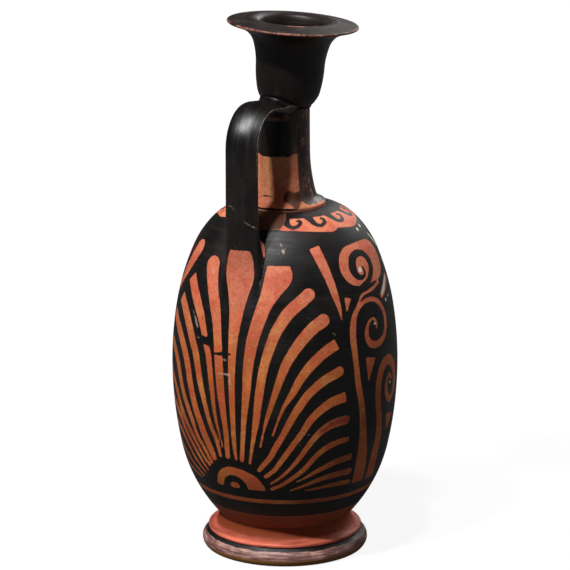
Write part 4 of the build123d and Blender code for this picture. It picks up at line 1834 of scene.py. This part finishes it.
@dataclass
class StrapHandle:
    """The strap handle: pulled clay, bent, and pressed on with its inner side swollen at both ends."""

    width: float = 12.4
    edge: float = 2.6
    squareness: float = 0.42
    crown: float = 1.3
    skew: float = 0.8
    skew_shift: float = 0.5
    belly: float = 0.7
    reach: float = 34.608
    bend: float = 13.013
    slope: float = 8.0
    top_level: float = 167.4
    swell_level: float = 139.0
    root_length: float = 38.0
    root_swell: float = 18.0
    top_reach: float = 19.034
    top_swell: float = 8.0
    end_radius: float = 7.7
    around: int = 96
    tail_rings: int = 22
    root_rings: int = 60
    rise_rings: int = 22
    bend_rings: int = 44
    top_rings: int = 40
    saddle_limit: float = 50.0
    fillet: float = 4.2
    flush_fillet: float = 0.8
    tail_level: float = 87.0
    bury_top: float = 98.0
    bury_length: float = 8.0
    buried: float = 0.35
    root_depth: float = 2.6
    # Share of the half width inside which the pale edge line begins: partly rubbed slip, partly a painted
    # highlight.
    edge_wear_and_highlight_share: float = 0.98
    comb_share: float = 0.9

    def face(self) -> float:
        """How far the crown of the strap stands from the axis along its straight rise."""
        return self.reach + self.edge / 2 + self.crown

    def face_at(self, across: np.ndarray) -> np.ndarray:
        """How far the strap's outer face stands from the axis, this far to the right of its middle."""
        share = np.clip(2 * across / self.width, -1, 1)
        return self.face() - self.crown * share**2 - self.skew * (share + self.skew_shift)

    def section(self, depth: float) -> np.ndarray:
        """The strap's section, across and outwards, deepened on its inner side.

        Args:
            depth: How much deeper the inner side is.

        Returns:
            Points round the section.
        """
        turn = np.linspace(0, math.tau, self.around, endpoint=False)
        across = np.sign(np.cos(turn)) * np.abs(np.cos(turn)) ** self.squareness
        out = np.sign(np.sin(turn)) * np.abs(np.sin(turn)) ** self.squareness
        curve = 1 - across**2
        half = self.edge / 2
        lift = self.crown * curve - self.skew * (across + self.skew_shift)
        outer = half * out + lift * np.maximum(out, 0)
        inner = (half + depth) * out + self.belly * curve * np.minimum(out, 0)
        return np.stack([self.width / 2 * across, np.where(out > 0, outer, inner)], 1)

    def rings(self) -> np.ndarray:
        """The strap's rings of points, from deep in the shoulder to inside the neck's wall."""
        slope = math.radians(self.slope)
        corner = self.top_level + self.reach * math.tan(slope)
        turn = math.pi / 2 + slope
        start = corner - self.bend * math.tan(turn / 2)
        low = self.swell_level - self.root_length
        tail = np.linspace(self.tail_level, low, self.tail_rings)[:-1]
        root = np.linspace(low, self.swell_level, self.root_rings)
        levels = np.r_[tail, root, np.linspace(self.swell_level, start, self.rise_rings)[1:]]
        rings = []
        for level, share in zip(levels, ramp(levels, self.swell_level, low)):
            rings.append(self._ring(np.array([-self.reach, level]), math.pi / 2, self.root_swell * share**2))
        centre = np.array([-self.reach + self.bend, start])
        for angle in np.linspace(0, turn, self.bend_rings)[1:]:
            spot = centre + self.bend * np.array([-math.cos(angle), math.sin(angle)])
            rings.append(self._ring(spot, math.pi / 2 - angle, 0.0))
        for share in np.linspace(0, 1, self.top_rings)[1:]:
            x = spot[0] * (1 - share) - self.end_radius * share
            level = self.top_level - x * math.tan(slope)
            deep = ramp(x, -self.top_reach, 0.0)
            ring = self._ring(np.array([x, level]), -slope, self.top_swell * deep**2)
            aside = np.minimum(ring[:, 1] ** 2, self.saddle_limit)
            ring[:, 0] += (self.end_radius - np.sqrt(self.end_radius**2 - aside)) * share**2
            rings.append(ring)
        return np.array(rings)

    def _ring(self, spot: np.ndarray, direction: float, depth: float) -> np.ndarray:
        """One ring of points round the strap.

        Args:
            spot: Its middle in the XZ plane.
            direction: The strap's direction there, in radians from +X.
            depth: How much deeper the inner side is.

        Returns:
            The ring's points.
        """
        section = self.section(depth)
        across, up = -math.sin(direction), math.cos(direction)
        return np.stack([spot[0] + section[:, 1] * across, -section[:, 0], spot[1] + section[:, 1] * up], 1)

    def _bury(self, made: Object, wall: Mass) -> None:
        """Lets the root's lower end run out under the wall's surface and keeps it inside the wall.

        Args:
            made: The welded strap.
            wall: The body's outside.
        """
        places = vertices(made)
        depth, outward = wall.probe(places)
        low = ramp(places[:, 2], self.bury_top, self.bury_top - self.bury_length)
        sink = low * low * (3 - 2 * low) * np.maximum(depth + self.buried, 0)
        sink += np.minimum(depth + self.root_depth, 0)
        move_vertices(made, places - sink[:, None] * outward)

    def build(self, finish: Material, ornament: Ornament, wall: Wall, masses: Sequence[Mass]) -> Object:
        """Builds the strap, welds it to the shoulder, neck and mouth, and paints it.

        Args:
            finish: Slip-painted clay.
            ornament: The painter's work.
            wall: The body's outside and the strap's face.
            masses: What the strap is pressed onto.

        Returns:
            The finished handle.
        """
        rings = self.rings()
        count = len(rings)
        faces = []
        for ring in range(count - 1):
            for spot in range(self.around):
                after = (spot + 1) % self.around
                low, high = ring * self.around, (ring + 1) * self.around
                faces.append((low + spot, low + after, high + after, high + spot))
        faces.append(tuple(range(self.around))[::-1])
        faces.append(tuple(range((count - 1) * self.around, count * self.around)))
        mesh = bpy.data.meshes.new("handle_strap")
        mesh.from_pydata((rings.reshape(-1, 3) * MM).tolist(), [], faces)
        mesh.materials.append(finish)
        made = finished("handle_strap", mesh)
        weld(made, masses, self.fillet, self.flush_fillet)
        self._bury(made, masses[0])
        section = self.section(0.0)
        # The strap's pale edges: partly rubbed slip, partly a painted highlight.
        inside = self.edge_wear_and_highlight_share * self.width / 2 - np.abs(section[:, 0])
        inside = np.where(section[:, 1] > 0, inside, FAR)
        store(made, "wear", 0.0)
        store(made, "comb", np.tile(self.comb_share * section[:, 0], count))
        store(made, "polish", 0.0)
        ornament.paint_handle(made, wall, self.reach, np.tile(inside, count))
        install(made, Slot.BLACK_GLOSS, "handle", "handle_root_lute", "handle_top_lute")
        return made


@dataclass(frozen=True)
class Softbox:
    """A soft lamp: its bearing right of the camera, its rise above level, its sides in metres, its watts."""

    name: str
    bearing: float
    rise: float
    width: float
    height: float
    watts: float


@dataclass(frozen=True)
class DistantLamp:
    """A lamp far off: its bearing right of the camera, its rise above level, its width and its strength."""

    name: str
    bearing: float
    rise: float
    width: float
    strength: float


@dataclass(frozen=True)
class Studio:
    """White sweep, soft lamps and a long lens at the photograph's viewing angle."""

    distance: float = 1.1846
    height: float = 0.4082
    azimuth: float = -63.6
    pitch: float = 14.594
    focal_share: float = 5.8
    sensor: float = 36.0
    clip_end: float = 20.0
    floor_half: float = 8.0
    aim_height: float = 0.1
    sun_distance: float = 1.5
    box_distance: float = 1.1
    white: str = "#FFFFFF"
    paper: str = "#4A4A4A"
    glow: float = 0.908
    gleam: float = 0.03
    ambient: float = 0.045
    suns: tuple[DistantLamp, ...] = (
        DistantLamp("key_left", -43.0, 52.0, 5.0, 2.5),
        DistantLamp("key_above", -28.0, 70.0, 4.0, 2.5),
    )
    boxes: tuple[Softbox, ...] = (
        Softbox("rim", 150.0, 28.0, 0.6, 0.6, 4.2),
        Softbox("fill_right", 100.0, 36.0, 0.8, 0.8, 1.2),
    )

    def camera(self) -> None:
        """Places the camera."""
        data = bpy.data.cameras.new("view")
        data.sensor_width = self.sensor
        data.lens = self.sensor * self.focal_share
        data.clip_end = self.clip_end
        made = bpy.data.objects.new("view", data)
        turn = math.radians(self.azimuth)
        made.location = (self.distance * math.sin(turn), -self.distance * math.cos(turn), self.height)
        made.rotation_euler = (math.radians(90 - self.pitch), 0.0, turn)
        bpy.context.scene.collection.objects.link(made)
        bpy.context.scene.camera = made

    def _aim(self, bearing: float, rise: float) -> Vector:
        """The direction from the pot to a lamp.

        Args:
            bearing: Degrees to the right of the camera.
            rise: Degrees above level.

        Returns:
            A unit vector.
        """
        turn, lift = math.radians(self.azimuth + bearing), math.radians(rise)
        return Vector((math.sin(turn) * math.cos(lift), -math.cos(turn) * math.cos(lift), math.sin(lift)))

    def _hang(self, data: Light, aim: Vector, away: float) -> None:
        """Hangs a lamp so that it faces the pot.

        Args:
            data: The lamp.
            aim: The direction from the pot.
            away: Distance in metres.
        """
        made = bpy.data.objects.new(data.name, data)
        made.location = aim * away + Vector((0, 0, self.aim_height))
        made.rotation_euler = aim.to_track_quat("Z", "Y").to_euler()
        bpy.context.scene.collection.objects.link(made)

    def lamps(self) -> None:
        """Hangs two distant lamps, high on the left and above, and the soft boxes."""
        for sun in self.suns:
            lamp = bpy.data.lights.new(sun.name, "SUN")
            lamp.energy = sun.strength
            lamp.angle = math.radians(sun.width)
            self._hang(lamp, self._aim(sun.bearing, sun.rise), self.sun_distance)
        for box in self.boxes:
            lamp = bpy.data.lights.new(box.name, "AREA")
            lamp.shape = "RECTANGLE"
            lamp.size, lamp.size_y = box.width, box.height
            lamp.energy = box.watts
            self._hang(lamp, self._aim(box.bearing, box.rise), self.box_distance)

    def sweep(self) -> None:
        """Lays the white floor, which keeps the pot's soft shadow."""
        mesh = bpy.data.meshes.new("floor")
        side = self.floor_half
        corners = [(-side, -side, 0), (side, -side, 0), (side, side, 0), (-side, side, 0)]
        mesh.from_pydata(corners, [], [(0, 1, 2, 3)])
        floor = bpy.data.objects.new("floor", mesh)
        bpy.context.scene.collection.objects.link(floor)
        finish = bpy.data.materials.new("matt_white_paper")
        finish.use_nodes = True
        tree = finish.node_tree
        tree.nodes.clear()
        path = add_node(tree, "ShaderNodeLightPath").outputs
        seen = arithmetic(tree, "MAXIMUM", path["Is Camera Ray"], path["Is Transmission Ray"])
        gleam = arithmetic(tree, "MULTIPLY", path["Is Glossy Ray"], self.gleam)
        power = arithmetic(tree, "MULTIPLY", arithmetic(tree, "MAXIMUM", seen, gleam), self.glow)
        paper = add_node(tree, "ShaderNodeBsdfDiffuse", {"Color": linear(self.paper)})
        light = add_node(tree, "ShaderNodeEmission", {"Color": linear(self.white), "Strength": power})
        both = add_node(tree, "ShaderNodeAddShader", {0: paper.outputs[0], 1: light.outputs[0]})
        add_node(tree, "ShaderNodeOutputMaterial", {"Surface": both.outputs[0]})
        mesh.materials.append(finish)

    def world(self) -> None:
        """Sets a plain white surrounding."""
        made = bpy.data.worlds.new("white_room")
        bpy.context.scene.world = made
        made.use_nodes = True
        tree = made.node_tree
        tree.nodes.clear()
        room = add_node(tree, "ShaderNodeBackground", {"Color": linear(self.white), "Strength": self.ambient})
        add_node(tree, "ShaderNodeOutputWorld", {"Surface": room.outputs[0]})

    def build(self) -> None:
        """Sets up the camera, the lamps, the floor and the world."""
        self.camera()
        self.lamps()
        self.sweep()
        self.world()
        bpy.context.scene.view_settings.view_transform = "Standard"


@dataclass(frozen=True)
class MouthSeat:
    """The leaning plane between neck and mouth."""

    level: float = 168.2
    lean: float = 3.6
    shift: float = 1.0
    toward: float = -63.6

    def matrix(self) -> Matrix:
        """The plane's place and turn, in millimetres."""
        turn, lean = math.radians(self.toward), math.radians(self.lean)
        across = Vector((math.cos(turn), math.sin(turn), 0))
        up = Vector((math.sin(lean) * across.x, math.sin(lean) * across.y, math.cos(lean)))
        tilt = Vector((0, 0, 1)).rotation_difference(up).to_matrix().to_4x4()
        return Matrix.Translation(across * self.shift + Vector((0, 0, self.level))) @ tilt


def dress_joints(frame: dict) -> None:
    """Gives each joint's luting slip its finish: bare at the foot and collar, black under the mouth.
    """
    bare = LutingSlip().material()
    pale = LutingSlip("pale_fired_luting_slip", "#BE7B66").material()
    black = LutingSlip("black_painted_luting_slip", "#100D0D", roughness=0.4).material()
    for name, finish in (("foot_lute", bare), ("neck_lute", pale), ("mouth_lute", black)):
        node = frame["nodes"][name]
        node.data.materials.clear()
        node.data.materials.append(finish)


def main() -> None:
    """Builds the pot's looks piece by piece, then the studio round it."""
    logging.basicConfig(level=logging.INFO, format="%(name)s %(message)s")
    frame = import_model()
    body, handle, seat = TurnedBody(), StrapHandle(), MouthSeat().matrix()
    ornament, lathe = Ornament(), Lathe()
    painted, foot_clay = SlipPaintedClay().material(), WashedFootClay().material()
    handled = SlipPaintedClay("hand_polished_gloss_slip", slip_roughness=0.35, gloss=0.6).material()
    thin = SlipPaintedClay(
        "thin_brown_black_slip", slip="#1C1513", slip_thin="#34251F", dust="#A87C6C", rubbed="#8C5444"
    ).material()
    wall = Wall(body.outside(), handle)
    body.build(lathe, painted, ornament, wall)
    TurnedFoot().build(lathe, foot_clay)
    neck, mouth = TurnedNeck(), TurnedMouth()
    neck.build(lathe, painted, seat)
    mouth.build(lathe, thin, seat)
    masses = [Mass(wall.rows), Mass(neck.outside()), Mass(mouth.outside(), seat)]
    handle.build(handled, ornament, wall, masses)
    dress_joints(frame)
    Studio().build()


if __name__ == "__main__":
    main()
